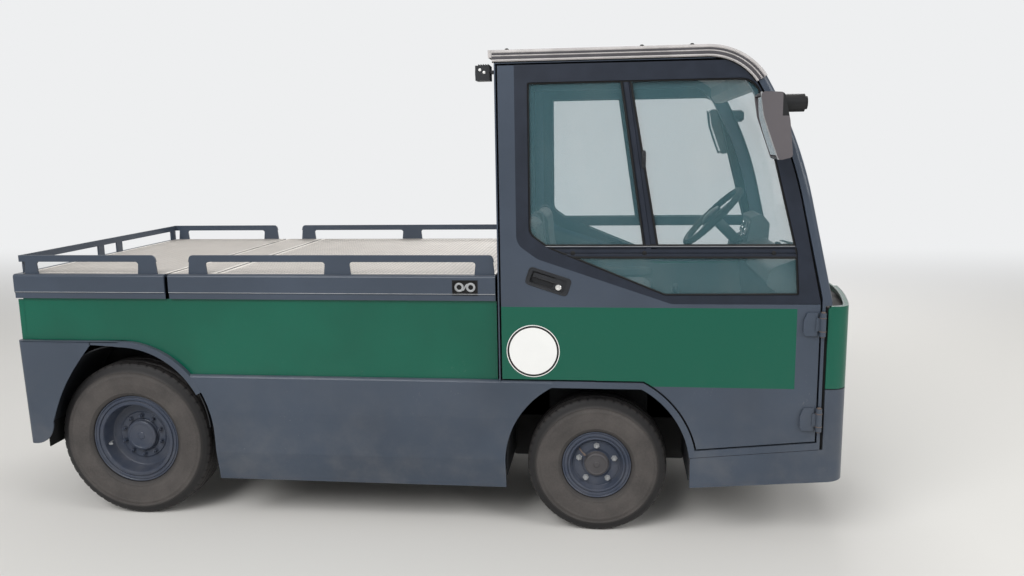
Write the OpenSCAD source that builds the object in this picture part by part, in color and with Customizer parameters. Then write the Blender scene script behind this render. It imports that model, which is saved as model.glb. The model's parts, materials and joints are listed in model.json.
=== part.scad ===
// Electric tow tractor for airport baggage: closed two-seat cab in front, load deck with low rails behind.
// X points forward, Y to the driver's left, Z up, ground at Z = 0. Sizes are in millimetres.
// Inside the modules X = 0 is the rear edge of the cab; placed() moves the whole tug to its origin,
// the middle of the overall length at ground level.

/* [Body] */
// Overall width over the skirts
body_w = 1300; // [1200:10:1400]
// Rear axle to the back of the body
rear_overhang = 430; // [420:5:600]
// Cab rear edge to the foremost line of the nose
nose_x = 1342; // [1330:2:1400]
// Radius of the bowed front in plan
nose_bow = 2735; // [2000:50:4000]
// Top edge of the nose
nose_top_z = 914; // [900:2:960]
// Height of the load deck
deck_z = 1022; // [1000:2:1060]
// Thickness of the skirt and fender sheets
sheet_t = 6; // [4:1:8]
// Thickness of the deck plate
deck_t = 12; // [8:1:16]
// Set-back of the green side panels from the skirts
panel_inset = 20; // [12:1:26]
// Height of the ledge along the top of the mid skirt
ledge_z = 620; // [610:1:630]
// Lower edge of the mid skirt
skirt_z = 180; // [160:5:220]
// Top of the rear fenders
fender_z = 752; // [745:1:765]
// Lower edge of the rear fenders
fender_low_z = 320; // [300:5:340]

/* [Deck] */
// Height of the folded deck sill
sill_h = 97; // [90:1:104]
// Gap between the fixed rear deck and the battery cover
deck_gap = 16; // [12:1:20]
// Length of the fixed rear deck
rear_deck_l = 642; // [600:2:680]
// Height of the rails above the deck
rail_h = 74; // [66:1:84]
// Height of the upper band of the rails
rail_band = 26; // [20:1:34]
// Plate thickness of the rails
rail_t = 8; // [6:1:12]
// Set-back of the rails from the body side
rail_inset = 22; // [16:1:30]

/* [Cab] */
// Highest line of the roof
roof_z = 1835; // [1800:5:1870]
// Thickness of the roof shell
roof_t = 26; // [20:1:32]
// Width of the pillars in side view
pillar_w = 34; // [32:1:40]
// Radius along the outer front edge of the windscreen pillars
pillar_r = 20; // [10:1:22]
// Depth of the pillars, outer and inner ring together
pillar_d = 75; // [70:1:85]
// Thickness of the doors
door_t = 37; // [32:1:40]
// Gap round the doors
door_gap = 7; // [6:0.5:9]
// Top of the door opening
door_top_z = 1788; // [1780:1:1792]
// Height of the footwell floor
floor_z = 370; // [362:1:376]
// Height of the seat platform over the front wheels
platform_z = 648; // [640:1:660]
// Thickness of the glass panes
glass_t = 5; // [4:1:6]

/* [Wheels] */
// Distance between the axles
wheelbase = 1896; // [1880:2:1910]
// Front axle, measured forward from the cab rear edge
front_axle_x = 366; // [360:1:372]
// Outer diameter of the front tyres
front_tyre_d = 540; // [520:5:550]
// Width of the front tyres
front_tyre_w = 155; // [140:5:165]
// Outer diameter of the rear tyres
rear_tyre_d = 650; // [630:5:660]
// Width of the rear tyres
rear_tyre_w = 184; // [170:2:196]
// Outer faces of the tyres inside the body sides
tyre_inset = 50; // [40:1:60]
// Radius of the front wheel arch
front_arch_r = 350; // [345:1:355]
// Radius of the rear wheel arch
rear_arch_r = 350; // [345:1:355]
// Width of the lip round the wheel arches
lip_w = 24; // [18:1:28]

/* [Steering] */
// Kingpin distance from the centre line
kingpin_y = 410; // [405:1:415]
// Kingpin radius
kingpin_r = 16; // [14:1:18]
// Length of the steering arms
steer_arm = 150; // [140:1:160]
// Steering wheel diameter
steer_wheel_d = 360; // [340:5:380]

/* [Hidden] */

$fn = 64;
// Small overlap that keeps cuts clean
eps = 0.5;
// Larger than any part, for half planes
far = 4000;
half_w = body_w / 2;
rear_axle_x = front_axle_x - wheelbase;
rear_x = rear_axle_x - rear_overhang;
rear_deck_end = -rear_x - rear_deck_l;
// Rear coupling stands out behind the body
coupling_reach = 70;
mid_shift = -(nose_x + rear_x - coupling_reach) / 2;
front_r = front_tyre_d / 2;
rear_r = rear_tyre_d / 2;
inner_y = half_w - pillar_d;
// Floor pans and the plate of the bumper and nose
pan_t = 10;
nose_t = 8;
// Frame rails, bulkheads and rear plate, measured from the centre line
rail_y = 215;
cover_seat_y = 560;
rear_plate_y = 580;
// Front end of the mid skirt
skirt_front_x = front_axle_x - 160;
// Small gap between pieces that seat on each other
seat_gap = 0.3;

// Colours as the tug wears them
slate = [0.30, 0.33, 0.37];
green = [0.12, 0.36, 0.29];
roof_grey = [0.66, 0.63, 0.59];
deck_grey = [0.80, 0.78, 0.75];
black = [0.07, 0.07, 0.08];
rubber = [0.13, 0.12, 0.12];
glass_green = [0.62, 0.78, 0.74, 0.4];
steel = [0.45, 0.46, 0.48];

// Moves a piece from the cab frame of reference to the origin of the tug
module placed() {
    translate([mid_shift, 0, 0]) children();
}

// The right-hand piece, or its mirror image on the left
module on_side(side) {
    if (side == "left") mirror([0, 1, 0]) children();
    else children();
}

// Carries an outline drawn in X and Z from y0 to y1
module across(y0, y1) {
    translate([0, y1, 0]) rotate([90, 0, 0]) linear_extrude(y1 - y0) children();
}

// Carries an outline drawn in Y and Z from x0 to x1
module along(x0, x1) {
    translate([x0, 0, 0]) rotate([90, 0, 90]) linear_extrude(x1 - x0) children();
}

// Carries an outline drawn in X and Y from z0 to z1
module upward(z0, z1) {
    translate([0, 0, z0]) linear_extrude(z1 - z0) children();
}

module rect(x0, y0, x1, y1) {
    translate([x0, y0]) square([x1 - x0, y1 - y0]);
}

module block(x0, y0, z0, x1, y1, z1) {
    translate([x0, y0, z0]) cube([x1 - x0, y1 - y0, z1 - z0]);
}

module disc(x, y, r) {
    translate([x, y]) circle(r);
}

// Rectangle with round corners
module round_rect(x0, y0, x1, y1, r) {
    rect(x0 + r, y0, x1 - r, y1);
    rect(x0, y0 + r, x1, y1 - r);
    for (x = [x0 + r, x1 - r], y = [y0 + r, y1 - r]) disc(x, y, r);
}

function polar(c, r, a) = [c[0] + r * cos(a), c[1] + r * sin(a)];

// Sector of a circle between two angles less than 180 degrees apart
module sector(c, r, a0, a1) {
    intersection() {
        translate(c) circle(r, $fn = 360);
        polygon([c, polar(c, 2 * r, a0), polar(c, 2 * r, (a0 + a1) / 2), polar(c, 2 * r, a1)]);
    }
}

// Corner at b between a and c, rounded to radius r by a short run of points
function unit(v) = v / norm(v);
function corner(a, b, c, r, steps = 6) =
    r == 0 ? [b] :
    let (u = unit(a - b), v = unit(c - b), half = acos(u * v) / 2,
        m = b + unit(u + v) * r / sin(half), s0 = b + u * r / tan(half), s1 = b + v * r / tan(half),
        a0 = atan2(s0[1] - m[1], s0[0] - m[0]), d = atan2(s1[1] - m[1], s1[0] - m[0]) - a0,
        turn = d > 180 ? d - 360 : d < -180 ? d + 360 : d)
    [for (k = [0 : steps]) polar(m, r, a0 + turn * k / steps)];

// Outline from rows of X, Z and corner radius
function rounded(rows) = let (n = len(rows)) [
    for (k = [0 : n - 1])
        let (a = rows[(k + n - 1) % n], b = rows[k], c = rows[(k + 1) % n])
        each corner([a[0], a[1]], [b[0], b[1]], [c[0], c[1]], b[2])
];

// Side profile of the cab: flat roof, two arcs and a leaning windscreen pillar
front_foot_x = 1190;
// The windscreen pillars run on down to a foot over the rear edge of the nose
pillar_foot_x = 1207;
low_front_x = front_foot_x - 7;
lean = 13;
brow_a = 30;
screen_r = 1500;
brow_r = 246;
brow_c = [749, roof_z - brow_r];
screen_c = [
    brow_c[0] - (screen_r - brow_r) * cos(brow_a),
    brow_c[1] - (screen_r - brow_r) * sin(brow_a)
];
screen_foot = polar(screen_c, screen_r, lean);
cab_low_z = 200;
// The roof shell ends where the brow arc reaches this angle
roof_end_a = 34;
roof_front_x = brow_c[0] + brow_r * cos(roof_end_a);

// The arcs stand this much proud of the lines that they run into, so that each crossing is a clean one
proud = 0.02;

// Height at which the leaning front line, set in by i, meets the upright foot
function knee_z(i, foot) = polar(screen_c, screen_r - i - proud, lean)[1]
    - (foot - polar(screen_c, screen_r - i - proud, lean)[0]) / tan(lean);

// Outline set in by i at the top and front; foot is the upright front line, back the rear line
module cab_profile(i = 0, foot = pillar_foot_x, back = -20) {
    f = foot - (foot == pillar_foot_x ? i : 0);
    intersection() {
        rect(back, cab_low_z, far, roof_z - i);
        union() {
            polygon([
                [back, cab_low_z], [back, roof_z - i], [brow_c[0], roof_z - i],
                polar(brow_c, brow_r - i - 1, brow_a), polar(screen_c, screen_r - i - proud, lean),
                [f, knee_z(i, f)], [f, cab_low_z]
            ]);
            sector(brow_c, brow_r - i + proud, brow_a - 3, 92);
            sector(screen_c, screen_r - i, lean - 2, brow_a);
        }
    }
}

// Front wheel arch: round, with a flat top and upright legs
front_arch_z = 288;
front_arch_top = 595;

module front_arch(grow = 0) {
    intersection() {
        union() {
            disc(front_axle_x, front_arch_z, front_arch_r + grow);
            rect(front_axle_x - front_arch_r - grow, -far, front_axle_x + front_arch_r + grow, front_arch_z);
        }
        rect(-far, -far, far, front_arch_top + grow);
    }
}

// Rear wheel arch: the front half is round, the rear half a little tighter
rear_arch_z = 380;

module rear_arch(grow = 0) {
    disc(rear_axle_x, rear_arch_z, rear_arch_r + grow);
    rect(rear_axle_x, -far, rear_axle_x + rear_arch_r + grow, rear_arch_z);
    rect(rear_axle_x - 300, -far, rear_axle_x, rear_arch_z);
}

// Line under the door, rising slightly towards the nose
door_low_z = 358;
door_rise = 0.1;
function under_door(x) = door_low_z + door_rise * (x - (front_axle_x + front_arch_r));

// Door opening, and the door itself when shrunk by the gap
module door_outline(shrink = 0) {
    difference() {
        intersection() {
            cab_profile(pillar_w + shrink, front_foot_x - door_front_strip - shrink, door_rear_x + shrink);
            rect(0, 0, far, door_top_z - shrink);
            polygon([
                [0, under_door(0) + shrink], [far, under_door(far) + shrink], [far, far], [0, far]
            ]);
        }
        rect(-far, -far, front_axle_x, ledge_z + shrink);
        intersection() {
            front_arch(lip_w + shrink);
            rect(front_axle_x - eps, -far, far, far);
        }
    }
}
door_rear_x = 5;
door_front_strip = 18;

// The upper part of the door inside this line is its black window frame: X, Z, corner radius
window_line = [
    [72, 2200, 0], [72, 1140, 60], [150, 1084, 70], [640, 919, 50], [2000, 925, 0], [2000, 2200, 0]
];

// Clear opening of the window frame, under the lower of the door's top and the roof: X, Z, corner radius
window_head = 68;
glass_top_z = min(door_top_z, roof_z - pillar_w) - window_head;
glass_line = [
    [118, glass_top_z, 8], [118, 1176, 45], [190, 1124, 50], [614, 950, 30], [1090, 954, 8], [1078, 1110, 0],
    [921, glass_top_z, 75]
];
crossbar_z = 1092;
crossbar_h = 40;
mullion_w = 34;

// Crossbar over the fixed lower pane and the leaning mullion between the sliding panes
module window_bars(grow = 0) {
    rect(0, crossbar_z - grow, far, crossbar_z + crossbar_h + grow);
    polygon([
        [522 - grow, glass_top_z + 20], [522 + mullion_w + grow, glass_top_z + 20],
        [622 + mullion_w / 2 + grow, crossbar_z], [622 - mullion_w / 2 - grow, crossbar_z]
    ]);
}

// Plan outline shared by the nose and the bumper: bowed front and round corners
corner_r = 62;
bow_c = nose_x - nose_bow;
corner_y = half_w - corner_r;
corner_x = bow_c + sqrt(pow(nose_bow - corner_r, 2) - pow(corner_y, 2));
corner_a = atan2(corner_y, corner_x - bow_c);

// Line of the bowed front at a distance y from the middle, set in by i
function bow_x(y, i = 0) = bow_c + sqrt(pow(nose_bow - i, 2) - pow(y, 2));

module nose_plan(i = 0, x0 = 700) {
    intersection() {
        rect(x0, -half_w, far, half_w);
        union() {
            rect(0, -half_w + i, corner_x, half_w - i);
            sector([bow_c, 0], nose_bow - i, -corner_a, corner_a);
            for (s = [-1, 1]) disc(corner_x, s * corner_y, corner_r - i + proud);
        }
    }
}

// Tyre: a section turned about the wheel axis, centred on y = 0, its beads inside the rim flanges
bead_at = 0.36;
module tyre(r, w, rim_r, flange_r) {
    high = r - rim_r;
    half = [
        [rim_r, bead_at * w], [flange_r + 1, bead_at * w], [flange_r + 4, 0.44 * w], [rim_r + 0.45 * high, 0.5 * w],
        [r - 0.24 * high, 0.475 * w], [r - 0.07 * high, 0.42 * w], [r - 0.015 * r, 0.34 * w], [r, 0.2 * w]
    ];
    rotate([90, 0, 0]) rotate_extrude($fn = 96) polygon(concat(
        [for (p = half) [p[0], -p[1]]], [for (k = [len(half) - 1 : -1 : 0]) half[k]]
    ));
}

// Wheel: rim well with flanges, dished disc, hub with bore and a ring of nuts; outside is -Y
module rim(seat_r, flange_r, w, dish, hub_r, bore_r, hub_in, nuts, nut_ring, nut_r) {
    bead = bead_at * w;
    wall = 6;
    difference() {
        union() {
            rotate([90, 0, 0]) rotate_extrude($fn = 96) polygon([
                [seat_r - 22, -bead + 26], [seat_r - wall, -bead + 12], [seat_r - wall, -bead - 6],
                [flange_r, -bead - 8], [flange_r, -bead - 2], [seat_r - 0.3, -bead - 0.3], [seat_r - 0.3, -bead + 14],
                [seat_r - 16, -bead + 28], [seat_r - 16, bead - 28], [seat_r - 0.3, bead - 14],
                [seat_r - 0.3, bead + 0.3], [flange_r, bead + 2], [flange_r, bead + 8], [seat_r - wall, bead + 6],
                [seat_r - wall, bead - 12], [seat_r - 22, bead - 26]
            ]);
            // dished disc
            translate([0, -bead + dish, 0]) rotate([90, 0, 0]) cylinder(h = 10, r = seat_r - 19);
            // hub, closed on the outside
            translate([0, hub_in, 0]) rotate([90, 0, 0]) cylinder(h = hub_in + bead - dish + 26, r = hub_r);
            for (k = [0 : nuts - 1]) rotate([0, k * 360 / nuts + 18, 0]) translate([nut_ring, -bead + dish - 8, 0])
                rotate([90, 0, 0]) cylinder(h = 16, r = nut_r, $fn = 6);
        }
        translate([0, hub_in + eps, 0]) rotate([90, 0, 0]) cylinder(h = hub_in + bead - dish, r = bore_r);
    }
}

front_wheel_y = half_w - tyre_inset - front_tyre_w / 2;
rear_wheel_y = half_w - tyre_inset - rear_tyre_w / 2;
front_rim_r = 114.3;
rear_rim_r = 152.4;
front_flange_r = 133;
rear_flange_r = 172;
spindle_r = 28;
stub_r = 36;
run_fit = 0.05;
front_hub_in = 36;
rear_hub_in = 50;

module front_tyre(side) {
    color(rubber) placed() on_side(side) translate([front_axle_x, -front_wheel_y, front_r])
        tyre(front_r, front_tyre_w, front_rim_r, front_flange_r);
}

module front_rim(side) {
    color(slate) placed() on_side(side) translate([front_axle_x, -front_wheel_y, front_r])
        rim(front_rim_r, front_flange_r, front_tyre_w, 26, 44, spindle_r + run_fit, front_hub_in, 5, 72, 11);
}

module rear_tyre(side) {
    color(rubber) placed() on_side(side) translate([rear_axle_x, -rear_wheel_y, rear_r])
        tyre(rear_r, rear_tyre_w, rear_rim_r, rear_flange_r);
}

module rear_rim(side) {
    color(slate) placed() on_side(side) translate([rear_axle_x, -rear_wheel_y, rear_r])
        rim(rear_rim_r, rear_flange_r, rear_tyre_w, 62, 66, stub_r + run_fit, rear_hub_in, 10, 92, 9);
}

// Front axle: box beam with an eye for each kingpin
beam_h = 76;
eye_r = 36;
lug_t = 22;

module front_axle() {
    color(black) placed() difference() {
        union() {
            block(front_axle_x - 36, -kingpin_y, front_r - beam_h / 2, front_axle_x + 36, kingpin_y, front_r + beam_h / 2);
            for (s = [-1, 1]) translate([front_axle_x, s * kingpin_y, front_r - beam_h / 2]) cylinder(h = beam_h, r = eye_r);
            // pads that bolt up to the frame rails
            for (s = [-1, 1]) block(front_axle_x - 60, s * rail_y - 30, front_r, front_axle_x + 60, s * rail_y + 30, frame_low_z);
        }
        for (s = [-1, 1]) translate([front_axle_x, s * kingpin_y, 0]) cylinder(h = 2 * front_r, r = kingpin_r + run_fit);
    }
}

// Knuckle: fork round the axle eye with its kingpin, a spindle and a steering arm
knuckle_gap = 0.6;
arm_z = front_r - beam_h / 2 - knuckle_gap - lug_t;

module knuckle(side) {
    yk = -kingpin_y;
    z0 = front_r - beam_h / 2 - knuckle_gap;
    z1 = front_r + beam_h / 2 + knuckle_gap;
    web = eye_r + 6;
    color(steel) placed() on_side(side) {
        for (z = [z0 - lug_t, z1]) {
            translate([front_axle_x, yk, z]) cylinder(h = lug_t, r = eye_r);
            block(front_axle_x - eye_r, yk - web - 14, z, front_axle_x + eye_r, yk, z + lug_t);
        }
        translate([front_axle_x, yk, z0 - lug_t]) cylinder(h = z1 - z0 + 2 * lug_t, r = kingpin_r);
        block(front_axle_x - eye_r, yk - web - 14, z0 - lug_t, front_axle_x + eye_r, yk - web, z1 + lug_t);
        translate([front_axle_x, yk - web, front_r]) rotate([90, 0, 0])
            cylinder(h = front_wheel_y + 22 - kingpin_y - web, r = spindle_r);
        // steering arm, straight back, with the eye of the tie rod
        difference() {
            union() {
                block(front_axle_x - steer_arm, yk - 17, arm_z, front_axle_x, yk + 17, arm_z + 16);
                translate([front_axle_x - steer_arm, yk, arm_z]) cylinder(h = 16, r = 17);
            }
            translate([front_axle_x - steer_arm, yk, arm_z - 1]) cylinder(h = 18, r = ball_r + run_fit);
        }
    }
}
ball_r = 8;

// Tie rod under the two steering arms, its ball pins standing in their eyes
module tie_rod() {
    x = front_axle_x - steer_arm;
    z = arm_z - 18;
    color(steel) placed() {
        translate([x, -kingpin_y, z]) rotate([-90, 0, 0]) cylinder(h = 2 * kingpin_y, r = 13);
        for (s = [-1, 1]) {
            translate([x, s * kingpin_y, z - 15]) cylinder(h = 30, r = 17);
            translate([x, s * kingpin_y, z]) cylinder(h = arm_z + 22 - z, r = ball_r);
        }
    }
}

// Rear axle: tubes with the gear case in the middle, stubs for the wheels
axle_r = 58;
case_r = 138;
module rear_axle() {
    y_in = rear_wheel_y - rear_hub_in - 8;
    color(black) placed() translate([rear_axle_x, 0, rear_r]) {
        rotate([90, 0, 0]) cylinder(h = 2 * y_in, r = axle_r, center = true);
        rotate([90, 0, 0]) cylinder(h = 2 * (rear_wheel_y + 1), r = stub_r, center = true);
        for (s = [-1, 1]) translate([0, s * (y_in - 12), 0]) rotate([90, 0, 0]) cylinder(h = 24, r = 92, center = true);
        sphere(r = case_r);
        rotate([0, 90, 0]) cylinder(h = case_r + 1, r = 90);
        // seats on the frame rails
        for (s = [-1, 1]) block(-70, s * rail_y - 30, 0, 70, s * rail_y + 30, rear_frame_low_z - rear_r);
    }
}

// Drive motor in front of the gear case
module drive_motor() {
    color(black) placed() translate([rear_axle_x + case_r + 1, 0, rear_r]) rotate([0, 90, 0]) {
        cylinder(h = 225, r = 118);
        for (k = [0 : 4]) translate([0, 0, 30 + 40 * k]) cylinder(h = 12, r = 126);
    }
}

// Chassis: battery tub between the axles, rails over them, bulkheads and the rear plate
frame_low_z = 330;
frame_high_z = floor_z - pan_t;
rear_frame_low_z = 500;
tub_z = 200;
tub_y = half_w - 70;
tub_x0 = rear_axle_x + rear_arch_r + lip_w + 14;
tub_x1 = -2;
plate_t = 12;

cover_seat_z = deck_z - deck_t - seat_gap;
panel_y = half_w - panel_inset - sheet_t;
skirt_y = half_w - sheet_t;

// Bracket from the tub side out to a panel, on both sides of the tug
module side_brackets(x, w, z, h, y_out) {
    for (y = [-y_out, tub_y - eps]) block(x, y, z, x + w, y + y_out - tub_y + eps, z + h);
}

module chassis_frame() {
    color(black) placed() {
        block(tub_x0, -tub_y, tub_z, tub_x1, tub_y, tub_z + plate_t);
        // bulkheads that the battery cover rests on
        for (x = [tub_x0, tub_x1 - plate_t]) block(x, -cover_seat_y, tub_z, x + plate_t, cover_seat_y, cover_seat_z);
        for (x = [tub_x0, tub_x1 - 40]) block(x, -cover_seat_y, cover_seat_z - 8, x + 40, cover_seat_y, cover_seat_z);
        for (y = [-tub_y, tub_y - plate_t]) block(tub_x0, y, tub_z, tub_x1, y + plate_t, ledge_z - sheet_t - 1);
        for (s = [-1, 1]) {
            // front rails under the cab
            block(tub_x1 - eps, s * rail_y - 30, frame_low_z, front_foot_x, s * rail_y + 30, frame_high_z);
            // rear rails over the axle
            block(rear_x + sheet_t, s * rail_y - 30, rear_frame_low_z, tub_x0 + eps, s * rail_y + 30, rear_frame_low_z + 110);
            // posts that carry the fixed deck
            for (x = [rear_x + 60, -rear_deck_end - 90])
                block(x, s * rail_y - 30, rear_frame_low_z, x + 60, s * rail_y + 30, deck_z - deck_t);
        }
        for (x = [tub_x0 + 100, tub_x1 - 160]) side_brackets(x, 50, fold_z + 10, 30, skirt_y);
        for (x = [tub_x0, tub_x1 - 50]) side_brackets(x, 50, ledge_z - 30, 30 - sheet_t - 1, panel_y);
        // cross member behind the bumper and the horn of the front coupling
        block(front_foot_x - 40, -400, frame_low_z, front_foot_x, 400, frame_high_z);
        block(front_foot_x - eps, -60, frame_low_z, bow_x(60, nose_t) - seat_gap, 60, frame_high_z);
        // rear plate that carries the coupling
        block(rear_x + sheet_t, -rear_plate_y, 340, rear_x + sheet_t + plate_t, rear_plate_y, deck_z - sill_h - 4);
    }
}
module battery() {
    color([0.16, 0.17, 0.19]) placed()
        block(tub_x0 + plate_t + 12, -470, tub_z + plate_t, tub_x1 - plate_t - 12, 470, deck_z - sill_h - 40);
}

// Mid skirt: folded sheet between the arches, tucked in towards the ground
fold_z = 470;
tuck_z = 300;
tuck = 10;
foot_tuck = 34;
edge_r = 12;
module skirt_section(i = 0) {
    polygon(rounded([
        [-half_w + i, ledge_z - i, edge_r - i], [-half_w + i, fold_z, 0], [-half_w + tuck + i, tuck_z, 0],
        [-half_w + foot_tuck + i, skirt_z, 0], [-half_w + 72, skirt_z, 0], [-half_w + 72, ledge_z - i, 0]
    ]));
}

module mid_skirt(side) {
    x0 = rear_axle_x + rear_arch_r * 0.78;
    x1 = skirt_front_x;
    color(slate) placed() on_side(side) difference() {
        intersection() {
            difference() {
                along(x0, x1) skirt_section();
                along(x0 - eps, x1 + eps) translate([0, -eps]) skirt_section(sheet_t);
                block(x0 - eps, -half_w + 72 - eps, 0, x1 + eps, 0, far);
            }
            across(-half_w - eps, -half_w + 74) rect(x0, skirt_z + eps, x1, ledge_z);
        }
        across(-half_w - 1, -half_w + 80) front_arch();
        across(-half_w - 1, -half_w + 80) rear_arch(lip_w + seat_gap);
    }
}

// Rear fender: side sheet with the wheel arch, rounded rear corner, ledge on top
rear_corner_r = 70;
fender_return_y = 400;
module fender_plan(i = 0) {
    rect(rear_x + rear_corner_r, -half_w + i, far, 0);
    rect(rear_x + i, -half_w + rear_corner_r, far, 0);
    disc(rear_x + rear_corner_r, -half_w + rear_corner_r, rear_corner_r - i);
}

module fender_outline() {
    difference() {
        rect(rear_x, fender_low_z, rear_axle_x + rear_arch_r + lip_w, fender_z);
        rear_arch();
        // the sheet ends behind the wheel with a round corner
        rect(rear_axle_x - 310, -far, far, rear_arch_z + 40);
        difference() {
            rect(rear_axle_x - 400, fender_low_z - 1, rear_axle_x - 305, fender_low_z + 90);
            disc(rear_axle_x - 400, fender_low_z + 90, 90);
        }
        difference() {
            rect(rear_axle_x, -far, far, far);
            disc(rear_axle_x, rear_arch_z, rear_arch_r + lip_w);
        }
    }
}

module rear_fender(side) {
    color(slate) placed() on_side(side) {
        intersection() {
            difference() {
                upward(fender_low_z, fender_z) fender_plan();
                upward(fender_low_z - 1, fender_z - sheet_t) fender_plan(sheet_t);
                block(rear_x - 1, -fender_return_y, 0, far, 1, far);
                block(rear_x + sheet_t, -rear_plate_y - seat_gap, 0, far, 1, far);
                upward(fender_z - 2 * sheet_t, fender_z + 1) translate([panel_inset + 12, 0]) fender_plan(panel_inset);
            }
            across(-half_w - 1, 1) union() {
                fender_outline();
                rect(rear_x - 1, fender_low_z, rear_x + rear_corner_r, fender_z);
            }
        }
        // lip over the wheel, from the top of the arch down to the mid skirt
        across(-half_w, -half_w + panel_inset) difference() {
            union() {
                intersection() {
                    disc(rear_axle_x, rear_arch_z, rear_arch_r + lip_w);
                    rect(rear_axle_x, ledge_z - 70, far, far);
                }
                rect(rear_axle_x - 130, rear_arch_z + rear_arch_r, rear_axle_x, fender_z);
            }
            disc(rear_axle_x, rear_arch_z, rear_arch_r);
        }
    }
}

// Inner wheel arches of sheet, front and rear, both sides
house_t = 4;
front_house_y = 255;
rear_house_y = 300;

module wheelhouse_right() {
    // front, from the inner ring of the cab side to the frame rails
    across(-inner_y, -front_house_y) difference() {
        front_arch(house_t);
        front_arch();
        rect(-far, -far, far, 215);
    }
    across(-front_house_y - house_t, -front_house_y) difference() {
        front_arch(house_t);
        rect(-far, -far, far, frame_high_z + 2);
    }
    // rear, from the lip of the fender to the frame rails
    across(-half_w + panel_inset, -rear_house_y) difference() {
        intersection() {
            rear_arch(house_t);
            rect(-far, 400, far, far);
        }
        rear_arch();
    }
    across(-rear_house_y - house_t, -rear_house_y) intersection() {
        rear_arch(house_t);
        rect(-far, rear_frame_low_z + 112, far, far);
    }
}

module wheelhouses() {
    color(black) placed() {
        wheelhouse_right();
        mirror([0, 1, 0]) wheelhouse_right();
    }
}

// Green side panel between the deck sill and the ledge
panel_rear_x = rear_x + 30;
module side_panel(side) {
    y0 = -half_w + panel_inset;
    color(green) placed() on_side(side) across(y0, y0 + sheet_t) difference() {
        rect(panel_rear_x, ledge_z, -8, deck_z - sill_h - 2);
        rect(-far, -far, rear_axle_x, fender_z + 1);
        rear_arch(lip_w + 0.5);
    }
}

// Deck sill: folded edge with a crease near its foot
sill_w = 34;
sill_r = 12;
chequer_t = 3;
sill_y = -half_w + 5;
module sill_section() {
    low = deck_z - sill_h;
    difference() {
        union() {
            rect(sill_y, low + 26, sill_y + sill_w, deck_z - sill_r);
            rect(sill_y + sill_r, deck_z - 2 * sill_r, sill_y + sill_w, deck_z - chequer_t);
            rect(sill_y + sill_r, deck_z - 2 * sill_r, -plate_y - seat_gap, deck_z);
            intersection() {
                disc(sill_y + sill_r, deck_z - sill_r, sill_r);
                rect(sill_y, deck_z - 2 * sill_r, sill_y + sill_r, deck_z);
            }
            // below the crease the sheet steps in
            polygon([
                [sill_y, low + 26], [sill_y + 4, low + 20], [sill_y + 4, low], [sill_y + sill_w, low],
                [sill_y + sill_w, low + 26]
            ]);
        }
        rect(sill_y + 9, low - 1, sill_y + sill_w + 1, deck_z - deck_t);
    }
}

module deck_between(x0, x1) {
    block(x0, sill_y + sill_w - 1, deck_z - deck_t, x1, -sill_y - sill_w + 1, deck_z - chequer_t);
    along(x0, x1) sill_section();
    mirror([0, 1, 0]) along(x0, x1) sill_section();
}

// Chequer plate laid on the deck between the rails
plate_y = half_w - rail_inset - rail_t - seat_gap;
module chequer_plate(x0, x1) {
    block(x0, -plate_y, deck_z - chequer_t, x1, plate_y, deck_z);
}

// Hinges in the gap between the fixed deck and the battery cover
hinge_ys = [-420, 0, 420];
hinge_r = 7;
hinge_pin_r = 4;
hinge_eye = 46;
hinge_end = 22;
hinge_x = -rear_deck_end + deck_gap / 2;
hinge_z = deck_z - hinge_r;
// Outer face of the rail across the back
back_rail_x = rear_x + 26;

module rear_deck() {
    color(slate) placed() {
        deck_between(rear_x + sheet_t, -rear_deck_end);
        block(rear_x + sheet_t, -half_w + 12, deck_z - sill_h, rear_x + 15, half_w - 12, deck_z - chequer_t);
        block(rear_x + sheet_t, -plate_y - 2, deck_z - chequer_t - 1, back_rail_x + rail_t, plate_y + 2, deck_z);
        for (y = hinge_ys) {
            translate([hinge_x, y, hinge_z]) rotate([90, 0, 0])
                cylinder(h = hinge_eye + 2 * hinge_end, r = hinge_pin_r, center = true);
            for (s = [-1, 1]) translate([hinge_x, y + s * (hinge_eye / 2 + hinge_end / 2 + 1), hinge_z]) {
                rotate([90, 0, 0]) cylinder(h = hinge_end, r = hinge_r, center = true);
                translate([-deck_gap / 2 - eps, -hinge_end / 2, -5]) cube([deck_gap / 2, hinge_end, 8]);
            }
        }
    }
}

module rear_deck_plate() {
    color(deck_grey) placed() chequer_plate(back_rail_x + rail_t + seat_gap, -rear_deck_end);
}

cover_x0 = -rear_deck_end + deck_gap;
cover_x1 = -10;
latch_x0 = -174;
latch_x1 = -76;
latch_z0 = deck_z - sill_h + 21;
latch_z1 = deck_z - 18;
module battery_cover() {
    color(slate) placed() {
        difference() {
            deck_between(cover_x0, cover_x1);
            for (s = [-1, 1]) block(latch_x0, s * half_w - 14, latch_z0, latch_x1, s * half_w + 14, latch_z1);
        }
        // stiffeners under the plate
        for (x = [cover_x0 + 20, (cover_x0 + cover_x1) / 2, cover_x1 - 80])
            block(x, -half_w + 60, deck_z - deck_t - 24, x + 30, half_w - 60, deck_z - deck_t + eps);
        for (y = hinge_ys) difference() {
            union() {
                translate([hinge_x, y, hinge_z]) rotate([90, 0, 0]) cylinder(h = hinge_eye, r = hinge_r, center = true);
                block(hinge_x, y - hinge_eye / 2, hinge_z - 5, cover_x0 + eps, y + hinge_eye / 2, hinge_z + 3);
            }
            translate([hinge_x, y, hinge_z]) rotate([90, 0, 0])
                cylinder(h = hinge_eye + 2, r = hinge_pin_r + run_fit, center = true);
        }
    }
}

module cover_plate() {
    color(deck_grey) placed() chequer_plate(cover_x0, cover_x1);
}

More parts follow.
